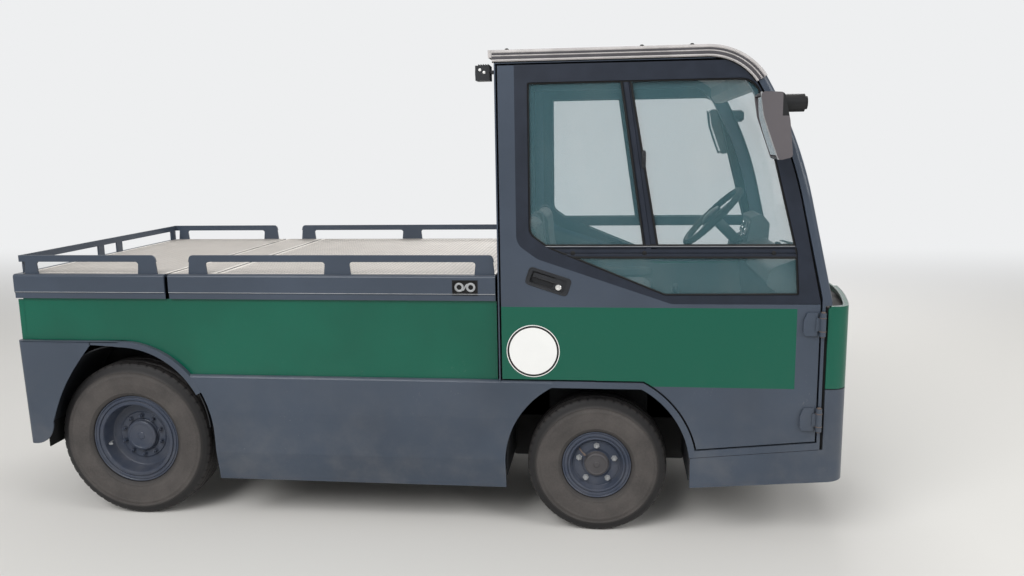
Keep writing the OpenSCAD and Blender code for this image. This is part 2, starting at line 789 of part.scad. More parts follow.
// Latches in the sill of the cover, one on each side: a recessed pan with two finger loops
module cover_latches() {
    color(black) placed() for (side = ["right", "left"]) on_side(side) {
        difference() {
            block(latch_x0 + seat_gap, sill_y + 0.5, latch_z0 + seat_gap, latch_x1 - seat_gap, sill_y + 8.7, latch_z1 - seat_gap);
            across(-half_w, sill_y + 5) round_rect(latch_x0 + 4, latch_z0 + 4, latch_x1 - 4, latch_z1 - 4, 12);
        }
        across(sill_y + 1.5, sill_y + 5.5) for (s = [-1, 1]) difference() {
            disc((latch_x0 + latch_x1) / 2 + s * 22, (latch_z0 + latch_z1) / 2, 17);
            disc((latch_x0 + latch_x1) / 2 + s * 22, (latch_z0 + latch_z1) / 2, 9);
        }
    }
}

// Rails: plate with windows open down to the deck
cover_posts = [[cover_x0 + 80, cover_x0 + 156], [-674, -569], [-90, -14]];
rear_posts = [[rear_x + 48, rear_x + 104], [-rear_deck_end - 114, -rear_deck_end - 34]];
rail_top = deck_z + rail_h;

module rail_outline(posts) {
    first = posts[0];
    last = posts[len(posts) - 1];
    r = 12;
    // the ends are round at the top
    polygon(rounded([
        [first[0] + 2, rail_top - rail_band, 0], [last[1] - 2, rail_top - rail_band, 0], [last[1] - 8, rail_top, 16],
        [first[0] + 8, rail_top, 16]
    ]));
    for (p = posts) polygon([
        [p[0], deck_z], [p[0] + 5, rail_top - rail_band + eps], [p[1] - 5, rail_top - rail_band + eps], [p[1], deck_z]
    ]);
    // fillets in the upper corners of the windows
    for (k = [0 : len(posts) - 2]) difference() {
        rect(posts[k][1] - 10, rail_top - rail_band - r, posts[k + 1][0] + 10, rail_top - rail_band + eps);
        round_rect(posts[k][1] - 4, deck_z - 40, posts[k + 1][0] + 4, rail_top - rail_band, r);
    }
}

module cover_rails() {
    y0 = -half_w + rail_inset;
    color(slate) placed() for (side = ["right", "left"]) on_side(side)
        across(y0, y0 + rail_t) rail_outline(cover_posts);
}

module rear_rails() {
    y0 = -half_w + rail_inset;
    x0 = back_rail_x;
    color(slate) placed() {
        for (side = ["right", "left"]) on_side(side) {
            across(y0, y0 + rail_t) rail_outline(rear_posts);
            across(y0, y0 + rail_t) rect(x0, rail_top - rail_band, rear_posts[0][0] + 20, rail_top);
        }
        block(x0, y0, rail_top - rail_band, x0 + rail_t, -y0, rail_top);
        for (y = [y0 + 40, -75, 75, -y0 - 40]) block(x0, y - 22, deck_z, x0 + rail_t, y + 22, rail_top);
    }
}

// Cab side: outer ring round the door and inner ring that the door closes against
ring_y = -half_w + door_t + 5;
module cab_side_outline() {
    difference() {
        cab_profile(back = 0);
        roof_zone(roof_t);
        front_arch();
        // no sheet behind the arch or under the sill
        rect(-far, -far, skirt_front_x, ledge_z);
        polygon([[0, -far], [0, under_door(0) - 26], [far, under_door(far) - 26], [far, -far]]);
        // below the pillar foot the front edge steps back behind the nose
        rect(low_front_x, -far, far, nose_top_z + 3);
    }
}

// Everything behind the line across the brow where the roof shell ends, moved forward by grow
module behind_brow(grow = 0) {
    a = polar([brow_c[0] + grow, brow_c[1]], 2 * brow_r, roof_end_a);
    polygon([[brow_c[0] + grow, brow_c[1]], a, [a[0], far], [-far, far], [-far, brow_c[1]]]);
}

module roof_zone(t) {
    difference() {
        intersection() {
            rect(-far, roof_z - 200, far, far);
            behind_brow();
        }
        cab_profile(t);
    }
}

// Door hinges: z0 and z1 of each, pins on the cab frame, leaves and eyes on the door
door_hinges = [[452, 538], [807, 893]];
door_hinge_x = 1173;
door_hinge_y = -half_w - 12;
door_pin_r = 6;
door_eye_r = 11;
door_lug = 18;

module door_pins() {
    for (z = door_hinges) {
        translate([door_hinge_x, door_hinge_y, z[0]]) cylinder(h = z[1] - z[0], r = door_pin_r);
        for (z0 = [z[0], z[1] - door_lug]) {
            translate([door_hinge_x, door_hinge_y, z0]) cylinder(h = door_lug, r = door_eye_r);
            block(door_hinge_x, door_hinge_y, z0, door_hinge_x + door_eye_r, -half_w + eps, z0 + door_lug);
        }
    }
}

module door_leaves() {
    for (z = door_hinges) difference() {
        union() {
            translate([door_hinge_x, door_hinge_y, z[0] + door_lug + 1]) cylinder(h = z[1] - z[0] - 2 * door_lug - 2, r = door_eye_r);
            across(-half_w - 8, -half_w + eps) polygon(rounded([
                [1156, z[0], 0], [1156, z[1], 0], [1119, z[1], 6], [1107, z[1] - 32, 10], [1107, z[0] + 16, 10], [1115, z[0], 6]
            ]));
            block(1150, -half_w - 12, z[0] + door_lug + 1, door_hinge_x - 4, -half_w - 2, z[1] - door_lug - 1);
        }
        translate([door_hinge_x, door_hinge_y, z[0]]) cylinder(h = z[1] - z[0], r = door_pin_r + run_fit);
    }
}

// What the round front edge of the pillars takes off: its section, with the edge at a radius r from an arc's centre.
// Its circle reaches a little past both faces, so that it crosses them instead of touching them.
edge_over = 0.3;
module edge_section(r) {
    difference() {
        rect(r - pillar_r, half_w - pillar_r, r + 1, half_w + 1);
        disc(r - pillar_r, half_w - pillar_r, pillar_r + edge_over);
    }
}

// The same section carried down the screen arc and the leaning line. It runs on past the arc's upper end, where the
// brow is so short that its own curve departs from it by half a millimetre.
edge_run_on = 1.4;
module pillar_edge() {
    translate([screen_c[0], 0, screen_c[1]]) rotate([90, 0, 0]) rotate([0, 0, lean])
        rotate_extrude(angle = brow_a + edge_run_on - lean, $fn = 360) edge_section(screen_r);
    translate([screen_c[0], 0, screen_c[1]]) rotate([90, 0, 0]) rotate([0, 0, lean]) rotate([90, 0, 0])
        linear_extrude((screen_foot[1] - nose_top_z + 10) / cos(lean)) edge_section(screen_r);
}

module cab_frame(side) {
    color(slate) placed() on_side(side) {
        door_pins();
        difference() {
            across(-half_w, ring_y + eps) difference() {
                cab_side_outline();
                door_outline();
            }
            pillar_edge();
        }
        across(ring_y, -half_w + pillar_d) difference() {
            cab_side_outline();
            door_outline(26);
        }
    }
}

// Floor pan: footwell in the nose, riser and seat platform over the wheels
riser_x = front_axle_x + front_arch_r + house_t + 2;
module cab_floor() {
    color(black) placed() {
        block(riser_x, -inner_y, floor_z - pan_t, front_foot_x - 6, inner_y, floor_z);
        block(riser_x, -inner_y, floor_z - pan_t, riser_x + pan_t, inner_y, platform_z);
        block(14, -inner_y, platform_z - pan_t, riser_x + pan_t, inner_y, platform_z);
        // bearers on the frame rails
        for (s = [-1, 1]) block(60, s * rail_y - 20, frame_high_z, 100, s * rail_y + 20, platform_z - pan_t);
    }
}

module rear_pane(i = 0) {
    y = inner_y - 105 - i;
    round_rect(-y, deck_z + 128 + i, y, glass_top_z - 30 - i, 50 - i);
}

module cab_rear_wall() {
    color(slate) placed() difference() {
        block(0, -inner_y, platform_z - 30, 14, inner_y, roof_z - roof_t);
        along(-1, 15) rear_pane();
    }
}

module rear_window() {
    color(glass_green) placed() along(5, 5 + glass_t) rear_pane(0.3);
}

// Small caps on the fixings along both edges of the roof: X, radius and height
roof_caps = [[42, 9, 10], [134, 6, 5], [292, 6, 5], [356, 6, 5], [525, 9, 10], [700, 9, 10]];
roof_cap_y = half_w - 50;

module roof() {
    color(roof_grey) placed() {
        for (c = roof_caps, s = [-1, 1]) translate([c[0], s * roof_cap_y, roof_z - eps])
            cylinder(h = c[2] + eps, r1 = c[1], r2 = c[1] * 0.4);
        across(-half_w - 4, half_w + 4) difference() {
            intersection() {
                union() {
                    cab_profile();
                    rect(-8, roof_z - 22, 20, roof_z - 4);
                }
                rect(-far, roof_z - 200, far, far);
                behind_brow();
            }
            cab_profile(roof_t);
        }
        // header over the windscreen
        across(-inner_y, inner_y) intersection() {
            cab_profile(roof_t);
            rect(roof_front_x - 60, roof_z - 150, roof_front_x, roof_z);
            difference() {
                rect(0, 0, far, far);
                cab_profile(roof_t + 30);
            }
        }
    }
}

module windscreen() {
    color(glass_green) placed() across(-inner_y + 0.3, inner_y - 0.3) intersection() {
        difference() {
            cab_profile(6);
            cab_profile(6 + glass_t);
            behind_brow(0.6);
        }
        rect(brow_c[0], cowl_z, far, far);
    }
}

// Cowl: cross beam under the windscreen, apron down to the tray behind the nose
cowl_z = 985;
tray_z = 872;
nose_back_x = front_foot_x + 4;
module cowl() {
    color(black) placed() {
        block(front_foot_x - 46, -inner_y, cowl_z - 60, pillar_foot_x - 4, inner_y, cowl_z);
        block(front_foot_x - 10, -inner_y, tray_z, front_foot_x + 3, inner_y, cowl_z - 50);
        upward(tray_z, tray_z + pan_t) nose_plan(nose_t + seat_gap, front_foot_x + 2);
    }
}

// Nose panel: green shell with a rim turned inwards along its top, lower in the middle
nose_low_z = 610;
rim_w = 20;
rim_dip = 12;
module nose_panel() {
    color(green) placed() difference() {
        upward(nose_low_z, nose_top_z) nose_plan(0, nose_back_x);
        upward(nose_low_z - 1, nose_top_z - 5) nose_plan(nose_t, front_foot_x - 10);
        upward(nose_top_z - 6, nose_top_z + 1) nose_plan(rim_w, front_foot_x - 10);
        block(nose_back_x, -180, nose_top_z - rim_dip, far, 180, nose_top_z + 1);
        // round upper rear corners
        across(-half_w - 1, half_w + 1) difference() {
            rect(nose_back_x - 1, nose_top_z - 16, nose_back_x + 16, nose_top_z + 1);
            disc(nose_back_x + 16, nose_top_z - 16, 16);
        }
    }
}

module front_bumper() {
    x0 = front_axle_x + front_arch_r;
    rise = 0.08;
    color(slate) placed() difference() {
        intersection() {
            difference() {
                upward(150, nose_low_z - 4) nose_plan(0, x0);
                upward(149, nose_low_z) nose_plan(nose_t, x0 - 1);
            }
            across(-half_w - 1, half_w + 1) polygon([
                [x0, 214], [nose_x + 1, 214 + rise * (nose_x - x0)], [nose_x + 1, nose_low_z - 4],
                [nose_back_x, nose_low_z - 4], [nose_back_x, under_door(nose_back_x) - 28],
                [x0, under_door(x0) - 28]
            ]);
        }
        // seats of the headlamps and the mouth of the front coupling
        for (s = [-1, 1]) along(lamp_x - 40, nose_x + 1) disc(s * lamp_y, lamp_z, lamp_r + 0.3);
        along(nose_x - 30, nose_x + 1) rect(-70, frame_high_z + 4, 70, frame_high_z + 96);
    }
}

lamp_y = 430;
lamp_z = 490;
lamp_r = 70;
lamp_x = bow_x(lamp_y + lamp_r);
lamp_depth = 36;
lens_r = 60;
lens_rise = 12;
lens_ball_r = (lens_r * lens_r + lens_rise * lens_rise) / (2 * lens_rise);
module headlamps() {
    color([0.85, 0.86, 0.88]) placed() for (s = [-1, 1])
        translate([lamp_x - lamp_depth, s * lamp_y, lamp_z]) rotate([0, 90, 0]) rotate_extrude() {
            // can, round bezel and domed lens
            rect(0, 0, lamp_r, lamp_depth);
            disc(lamp_r - 6, lamp_depth, 6);
            intersection() {
                disc(0, lamp_depth + lens_rise - lens_ball_r, lens_ball_r);
                rect(0, lamp_depth - eps, lens_r, far);
            }
        }
}

module tail_lamps() {
    color([0.6, 0.1, 0.08]) placed() for (s = [-1, 1])
        block(rear_x - 14, s * 490 - 60, 600, rear_x, s * 490 + 60, 690);
}

work_lamp_y = 600;
module work_lamps() {
    color(black) placed() for (s = [-1, 1]) {
        block(-40, s * work_lamp_y - 26, roof_z - 78, 0, s * work_lamp_y + 26, roof_z - 68);
        block(-70, s * work_lamp_y - 32, roof_z - 103, -18, s * work_lamp_y + 32, roof_z - 50);
    }
}

// Doors: painted lower shell with the rear strip, black window frame, panes, handle
module door(side) {
    color(slate) placed() on_side(side) door_leaves();
    color(slate) placed() on_side(side) difference() {
        across(-half_w, -half_w + door_t) difference() {
            door_outline(door_gap);
            polygon(rounded(window_line));
        }
        // pan of the handle
        at_handle() across(-1, 21) round_rect(-82, -34, 82, 34, 14);
    }
}
handle_tilt = 18;
handle_c = [189, 1001];
module at_handle() {
    translate([handle_c[0], -half_w, handle_c[1]]) rotate([0, handle_tilt, 0]) children();
}

module door_window_frame(side) {
    color(black) placed() on_side(side) {
        across(-half_w, -half_w + door_t) difference() {
            intersection() {
                door_outline(door_gap);
                polygon(rounded(window_line));
            }
            polygon(rounded(glass_line));
        }
        across(-half_w + 5, -half_w + door_t - 6) intersection() {
            polygon(rounded(glass_line));
            window_bars();
        }
    }
}

module door_glass(side) {
    color(glass_green) placed() on_side(side) across(-half_w + 12, -half_w + 12 + glass_t) difference() {
        polygon(rounded(glass_line));
        window_bars();
    }
}

module door_handles(side) {
    color(black) placed() on_side(side) at_handle() {
        difference() {
            across(-2, 20) round_rect(-81.7, -33.7, 81.7, 33.7, 13.7);
            across(-3, 14) round_rect(-66, -22, 22, 20, 8);
            across(-3, 3) round_rect(-68, -24, 66, 24, 8);
        }
        // flap on its pivot pin, lock barrel beside it
        across(1, 9) round_rect(-60, 0, 54, 17, 4);
        translate([-67, 7, 12]) rotate([0, 90, 0]) cylinder(h = 92, r = 3);
        across(0, 5) disc(42, -10, 11);
    }
}

// Mirror: a leaning housing held by a stalk from the front upper corner of the door
stalk_x = 951;
stalk_z = roof_z - 208;
stalk_r = 11;
clamp_r = 30;
mirror_y = -half_w - 48;
mirror_w = 150;
// Side of the housing: X and Z from the stalk, corner radius
mirror_side = [
    [-50, 35, 14], [-37, -45, 80], [15, -190, 14], [60, -178, 12], [47, -60, 40], [27, 31, 16]
];
module mirror_piece(side) {
    color(black) placed() on_side(side) translate([stalk_x, 0, stalk_z]) {
        // foot along the leaning edge of the door
        across(-half_w - 8, -half_w) polygon([[-23, 30], [-7, 30], [23, -30], [7, -30]]);
        translate([0, -half_w, 0]) rotate([90, 0, 0]) cylinder(h = 70, r = stalk_r);
        // thick clamp along the housing, with a round cap in front
        translate([24, mirror_y - clamp_r, 0]) rotate([0, 90, 0]) cylinder(h = 88, r = clamp_r);
        translate([111, mirror_y - clamp_r, 0]) rotate([0, 90, 0]) cylinder(h = 10, r = clamp_r - 8);
        // housing, open towards the rear where the glass sits
        difference() {
            across(mirror_y - mirror_w, mirror_y - 4) polygon(rounded(mirror_side));
            across(mirror_y - mirror_w + 6, mirror_y - 10)
                polygon([[-60, 22], [-60, -42], [-2, -178], [16, -178], [-28, -42], [-38, 22]]);
        }
    }
}

// Seats: closed cushions on their bases, driver on the left
seat_y = 290;
seat_w = 430;
seat_base_h = 90;
seat_base_l = 490;
back_t = 90;
back_h = 480;
back_lean = 8;
cushion_h = 110;
cushion_side = 10;
back_corner = 6;
module seats() {
    base_x = 110;
    top = platform_z + seat_base_h;
    // the cushion meets the rounded lower corner of the leaning back
    x0 = base_x + (back_t - back_corner) * cos(back_lean) - back_corner * sin(back_lean) + back_corner + seat_gap;
    x1 = base_x + seat_base_l + 30;
    color(black) placed() for (y = [-seat_y, seat_y]) {
        block(base_x, y - seat_w / 2, platform_z, base_x + seat_base_l, y + seat_w / 2, top);
        // cushion with a hollow for the thighs and a round front
        across(y - seat_w / 2 - cushion_side, y + seat_w / 2 + cushion_side) translate([0, top + seat_gap]) polygon(rounded([
            [x0, 0, 8], [x1 - 30, 0, 24], [x1, cushion_h - 60, 40], [x1 - 6, cushion_h, 34],
            [x1 - 130, cushion_h, 120], [x0 + 110, cushion_h - 22, 160], [x0, cushion_h - 14, 14]
        ]));
        // back with a pad for the loins
        translate([base_x, 0, top + seat_gap]) rotate([0, -back_lean, 0]) across(y - seat_w / 2, y + seat_w / 2) polygon(rounded([
            [0, 0, back_corner], [back_t, 0, back_corner], [back_t, 0.3 * back_h, 120], [back_t - 22, 0.62 * back_h, 160],
            [back_t - 12, back_h, 34], [8, back_h, 26]
        ]));
    }
}

wheel_tilt = 45;
wheel_c = [883, 285, 1160];
column_len = 250;
// Front face and top of the dashboard, and the instrument housing on it
dash_x = front_foot_x - 46;
dash_z = cowl_z + 93;
pod_w = 250;
pod_h = 104;
module dashboard() {
    color([0.3, 0.31, 0.32]) placed() {
        across(-inner_y, inner_y) polygon(rounded([
            [dash_x, dash_z - 378, 0], [dash_x, dash_z - 38, 0], [dash_x - 44, dash_z, 24], [dash_x - 144, dash_z - 38, 30],
            [dash_x - 159, dash_z - 98, 24], [dash_x - 104, dash_z - 138, 40], [dash_x - 74, dash_z - 378, 16]
        ]));
        // hooded housing of the instruments in front of the driver
        across(wheel_c[1] - pod_w / 2, wheel_c[1] + pod_w / 2) polygon(rounded([
            [dash_x - 126, dash_z - 40, 0], [dash_x - 30, dash_z - 40, 0], [dash_x - 24, dash_z + 60, 20],
            [dash_x - 60, dash_z + pod_h, 24], [dash_x - 112, dash_z + pod_h - 20, 8], [dash_x - 104, dash_z + pod_h - 34, 0]
        ]));
        // two pedals, each an arm with its pad
        for (y = [wheel_c[1] - 75, wheel_c[1] + 35]) {
            across(y - 6, y + 6) polygon(rounded([
                [dash_x - 84, dash_z - 370, 0], [dash_x - 70, dash_z - 370, 0], [dash_x - 88, dash_z - 540, 40],
                [dash_x - 120, dash_z - 600, 0], [dash_x - 132, dash_z - 594, 0], [dash_x - 102, dash_z - 540, 30]
            ]));
            translate([dash_x - 126, y, dash_z - 597]) rotate([0, -62, 0]) upward(-9, 2) round_rect(-42, -30, 42, 30, 10);
        }
        // column and the shaft that the steering wheel turns on
        translate(wheel_c) rotate([0, -wheel_tilt, 0]) {
            translate([0, 0, -column_len]) cylinder(h = column_len - 16, r = 24);
            translate([0, 0, -20]) cylinder(h = 24, r = 10);
        }
    }
}

module steering_wheel() {
    color(black) placed() translate(wheel_c) rotate([0, -wheel_tilt, 0]) difference() {
        union() {
            rotate_extrude() translate([steer_wheel_d / 2 - 14, 0]) circle(14, $fn = 32);
            translate([0, 0, -12]) cylinder(h = 26, r = 42);
            for (a = [0, 120, 240]) rotate([0, 0, a + 90]) translate([0, -14, -6]) cube([steer_wheel_d / 2 - 16, 28, 8]);
        }
        translate([0, 0, -13]) cylinder(h = 19, r = 10 + run_fit);
    }
}

// Rear coupling: stacked jaws with a drop pin
jaw_zs = [380, 450, 520, 590];
jaw_t = 16;
jaw_r = 50;
coupling_pin_r = 15;
module rear_coupling() {
    plate_x = rear_x - 12;
    pin_x = rear_x - coupling_reach + 40;
    color(black) placed() {
        block(plate_x, -90, 350, rear_x + sheet_t, 90, 640);
        for (z = jaw_zs) upward(z, z + jaw_t) difference() {
            union() {
                intersection() {
                    disc(rear_x - coupling_reach + jaw_r, 0, jaw_r);
                    rect(-far, -jaw_r, plate_x + eps, jaw_r);
                }
                rect(rear_x - coupling_reach + jaw_r, -jaw_r, plate_x + eps, jaw_r);
            }
            disc(pin_x, 0, coupling_pin_r + 0.5);
        }
        // drop pin with its collar on the top jaw
        translate([pin_x, 0, jaw_zs[0] - 14]) cylinder(h = 280, r = coupling_pin_r);
        translate([pin_x, 0, jaw_zs[3] + jaw_t - eps]) cylinder(h = 14, r = 24);
    }
}

// Front coupling: a bracket behind the mouth in the bumper, with a drop pin
module front_coupling() {
    z0 = frame_high_z;
    x0 = nose_x - 70;
    color(black) placed() {
        block(x0, -50, z0, x0 + 10, 50, z0 + 100);
        for (z = [z0, z0 + 86]) block(x0, -50, z, bow_x(50, nose_t) - seat_gap, 50, z + 14);
        translate([nose_x - 36, 0, z0]) cylinder(h = 118, r = 12);
        translate([nose_x - 36, 0, z0 + 112]) cylinder(h = 8, r = 18);
    }
}

chassis_frame();
battery();
drive_motor();
rear_axle();
front_axle();
knuckle("right");  // knuckle_right
knuckle("left");  // knuckle_left
tie_rod();
front_tyre("right");  // front_tyre_right
front_tyre("left");  // front_tyre_left
front_rim("right");  // front_rim_right
front_rim("left");  // front_rim_left
rear_tyre("right");  // rear_tyre_right
rear_tyre("left");  // rear_tyre_left
rear_rim("right");  // rear_rim_right
rear_rim("left");  // rear_rim_left
mid_skirt("right");  // mid_skirt_right
mid_skirt("left");  // mid_skirt_left
rear_fender("right");  // rear_fender_right
rear_fender("left");  // rear_fender_left
wheelhouses();
side_panel("right");  // side_panel_right
side_panel("left");  // side_panel_left
rear_deck();
rear_deck_plate();
rear_rails();
battery_cover();
cover_plate();
cover_rails();
cover_latches();
cab_frame("right");  // cab_frame_right
cab_frame("left");  // cab_frame_left
cab_floor();
cab_rear_wall();
rear_window();
roof();
windscreen();
cowl();
nose_panel();
front_bumper();
headlamps();
tail_lamps();
work_lamps();
door("right");  // door_right
door("left");  // door_left
door_window_frame("right");  // door_window_frame_right
door_window_frame("left");  // door_window_frame_left
door_glass("right");  // door_glass_right
door_glass("left");  // door_glass_left
door_handles("right");  // door_handles_right
door_handles("left");  // door_handles_left
mirror_piece("right");  // mirror_right
mirror_piece("left");  // mirror_left
seats();
dashboard();
steering_wheel();
rear_coupling();
front_coupling();
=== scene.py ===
"""Looks of an airport baggage tow tractor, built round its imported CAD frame.

All sizes are in metres. X points forward, Y to the driver's left, Z up, and the ground is at Z = 0.
CAB is the X of the rear edge of the cab, from which the drawings measure.
"""

import sys

import json
import logging
import math
from dataclasses import dataclass, field
from enum import Enum
from typing import Sequence

import bmesh
import bpy
import numpy as np
from mathutils import Matrix, Vector
from mathutils.geometry import tessellate_polygon

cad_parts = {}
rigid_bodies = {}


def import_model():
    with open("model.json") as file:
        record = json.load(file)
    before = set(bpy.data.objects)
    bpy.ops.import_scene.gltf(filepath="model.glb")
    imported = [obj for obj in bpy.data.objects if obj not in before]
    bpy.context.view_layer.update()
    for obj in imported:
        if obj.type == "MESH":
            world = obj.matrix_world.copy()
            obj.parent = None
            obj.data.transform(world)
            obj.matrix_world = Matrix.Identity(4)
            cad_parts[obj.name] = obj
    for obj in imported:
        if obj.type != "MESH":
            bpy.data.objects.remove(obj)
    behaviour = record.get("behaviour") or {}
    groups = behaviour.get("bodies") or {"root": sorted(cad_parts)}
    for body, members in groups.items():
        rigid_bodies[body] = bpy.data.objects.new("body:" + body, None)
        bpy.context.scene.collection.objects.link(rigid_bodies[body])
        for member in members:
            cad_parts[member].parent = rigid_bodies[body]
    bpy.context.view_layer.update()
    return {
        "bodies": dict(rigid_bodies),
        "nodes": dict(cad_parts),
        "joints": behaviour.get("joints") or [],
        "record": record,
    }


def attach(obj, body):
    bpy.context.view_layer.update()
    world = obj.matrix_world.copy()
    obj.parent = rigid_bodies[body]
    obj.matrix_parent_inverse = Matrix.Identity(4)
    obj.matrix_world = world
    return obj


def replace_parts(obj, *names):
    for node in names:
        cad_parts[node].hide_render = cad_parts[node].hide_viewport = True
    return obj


LOG = logging.getLogger("tug")
CAB = 0.344
HALF_W = 0.650
FRONT_X, REAR_X = CAB + 0.366, CAB - 1.530
# arcs of the roof's brow and of the screen: centre as X from the cab and Z, and radius of the outline
BROW, BROW_R = (0.749, 1.589), 0.246
SCREEN, SCREEN_R = (-0.337, 0.962), 1.5
# lean of the straight line below the screen's arc
LEAN = math.radians(13)
# width of the photograph in pixels, and of the camera's sensor
IMAGE_W, SENSOR_MM = 1024, 36.0
RGB = tuple[float, float, float]


class Side(Enum):
    """Side of the tug as the driver sees it; the value is the sign of Y."""

    RIGHT = -1
    LEFT = 1

    @property
    def word(self) -> str:
        """Lower-case word used in the names of nodes and pieces."""
        return self.name.lower()


class Axle(Enum):
    """The two axles."""

    FRONT = "front"
    REAR = "rear"


def linear(r: int, g: int, b: int) -> RGB:
    """Turns an 8-bit display colour into the linear colour that shaders take.

    Args:
        r: Red, 0 to 255.
        g: Green, 0 to 255.
        b: Blue, 0 to 255.

    Returns:
        The same colour as linear numbers from 0 to 1.
    """
    c = np.array([r, g, b], float) / 255
    out = np.where(c <= 0.04045, c / 12.92, ((c + 0.055) / 1.055) ** 2.4)
    return tuple(float(v) for v in out)


# Surfaces


@dataclass
class Surface:
    """Vertices and polygons of one surface.

    Attributes:
        points: Array of vertices, one row each.
        faces: List of arrays of polygons, each array with a fixed count of corners.
    """

    points: np.ndarray
    faces: list[np.ndarray] = field(default_factory=list)

    def mirrored(self) -> "Surface":
        """Returns the mirror image in the plane Y = 0, with its faces turned back outwards."""
        return Surface(self.points * np.array([1, -1, 1]), [f[:, ::-1] for f in self.faces])

    def on(self, side: Side) -> "Surface":
        """Returns this right-hand surface on the given side."""
        return self if side is Side.RIGHT else self.mirrored()

    def close_ends(self, count: int, rings: int) -> "Surface":
        """Adds one polygon on the first and one on the last of a tube's rings.

        Args:
            count: Points of each ring.
            rings: Count of the rings.

        Returns:
            The same surface.
        """
        ring = np.arange(count)
        self.faces += [ring[None, :], (ring + (rings - 1) * count)[::-1][None, :]]
        return self

    @staticmethod
    def join(parts: Sequence["Surface"]) -> "Surface":
        """Puts several surfaces into one, their vertices one after the other.

        Args:
            parts: Surfaces to join.

        Returns:
            One surface with the points and faces of all.
        """
        starts = np.cumsum([0] + [len(p.points) for p in parts[:-1]])
        faces = [f + s for p, s in zip(parts, starts) for f in p.faces]
        return Surface(np.concatenate([p.points for p in parts]), faces)


def turns(count: int) -> np.ndarray:
    """Angles of evenly spaced points round a circle, from 0, in radians."""
    return np.linspace(0, 2 * np.pi, count, endpoint=False)


def track(x: float | np.ndarray, y: float | np.ndarray, z: float | np.ndarray) -> np.ndarray:
    """Rows of X, Y and Z, where a single number stands for a whole column."""
    return np.column_stack(np.broadcast_arrays(x, y, z))


def inward(outline: np.ndarray) -> np.ndarray:
    """Unit direction into a closed anticlockwise outline at each point, square to the line between its
    neighbours.

    Args:
        outline: Points of the outline.

    Returns:
        One unit vector for each point.
    """
    way = np.roll(outline, -1, 0) - np.roll(outline, 1, 0)
    way /= np.linalg.norm(way, axis=1, keepdims=True)
    return np.column_stack([-way[:, 1], way[:, 0]])


def grid(points: np.ndarray, closed_u: bool = False, closed_v: bool = False) -> Surface:
    """Makes a surface from a grid of points: each cell of four neighbours is one quad.

    Args:
        points: Array of shape (u, v, 3).
        closed_u: The last row joins the first.
        closed_v: The last column joins the first.

    Returns:
        The surface; its front shows where u then v turn anticlockwise.
    """
    nu, nv = points.shape[:2]
    u = np.arange(nu if closed_u else nu - 1)
    v = np.arange(nv if closed_v else nv - 1)
    uu, vv = np.meshgrid(u, v, indexing="ij")
    a = uu * nv + vv
    b = ((uu + 1) % nu) * nv + vv
    c = ((uu + 1) % nu) * nv + (vv + 1) % nv
    d = uu * nv + (vv + 1) % nv
    return Surface(points.reshape(-1, 3), [np.stack([a, b, c, d], -1).reshape(-1, 4)])


def revolve(profile: np.ndarray, centre: Sequence[float], count: int = 96, closed: bool = True) -> Surface:
    """Turns a profile about a line parallel to Y: the point (r, y) goes to (r cos t, y, r sin t).

    Args:
        profile: Rows of radius and Y, anticlockwise with the radius to the right.
        centre: A point on the axis.
        count: Steps round the circle.
        closed: The profile is a closed loop.

    Returns:
        The surface of revolution.
    """
    t = turns(count)[:, None]
    r, y = profile[:, 0][None, :], profile[:, 1][None, :]
    p = np.stack([r * np.cos(t), y + 0 * t, r * np.sin(t)], -1) + np.array(centre)
    return grid(p, closed_u=True, closed_v=closed)


def prism(outline: np.ndarray, y0: float, y1: float) -> Surface:
    """Carries an outline of X and Z along Y and closes both ends with one polygon each.

    Args:
        outline: Rows of X and Z, anticlockwise seen from the right-hand side of the tug.
        y0: Near end.
        y1: Far end.

    Returns:
        The closed surface.
    """
    n = len(outline)
    ends = [track(outline[:, 0], y, outline[:, 1]) for y in (y0, y1)]
    k = np.arange(n)
    walls = np.stack([k, k + n, (k + 1) % n + n, (k + 1) % n], -1)
    return Surface(np.concatenate(ends), [walls, k[None, :], (k + n)[::-1][None, :]])


def sweep(profile: np.ndarray, path: np.ndarray, side_way: Sequence[float], closed: bool = False) -> Surface:
    """Carries a closed profile along a path.

    At each point of the path the first number of the profile runs along side_way and the second along the
    direction square to both the path and side_way.

    Args:
        profile: Rows of two numbers, a closed loop.
        path: Points in space.
        side_way: Direction that stays square to the path.
        closed: The path is a loop.

    Returns:
        The tube, with closed ends where the path is open.
    """
    if closed:
        along = np.roll(path, -1, 0) - np.roll(path, 1, 0)
    else:
        along = np.gradient(path, axis=0)
    along /= np.linalg.norm(along, axis=1, keepdims=True)
    a = np.broadcast_to(np.array(side_way, float), path.shape)
    a = a - along * np.sum(a * along, 1, keepdims=True)
    a /= np.linalg.norm(a, axis=1, keepdims=True)
    b = np.cross(along, a)
    p = (
        path[:, None, :] + profile[None, :, 0, None] * a[:, None, :]
        + profile[None, :, 1, None] * b[:, None, :]
    )
    tube = grid(p, closed_u=closed, closed_v=True)
    return tube if closed else tube.close_ends(len(profile), len(path))


def ring_profile(width: float, height: float, count: int = 12, power: float = 2.0) -> np.ndarray:
    """Closed round or squared section: cosine and sine raised to 2 / power, times half the width and height.

    Args:
        width: Width of the section.
        height: Its height.
        count: Count of points.
        power: Power of its corners; 2 gives an ellipse.

    Returns:
        Points of the section.
    """
    t = turns(count)
    c, s = np.cos(t), np.sin(t)
    e = 2 / power
    return np.column_stack(
        [np.sign(c) * np.abs(c) ** e * width / 2, np.sign(s) * np.abs(s) ** e * height / 2]
    )


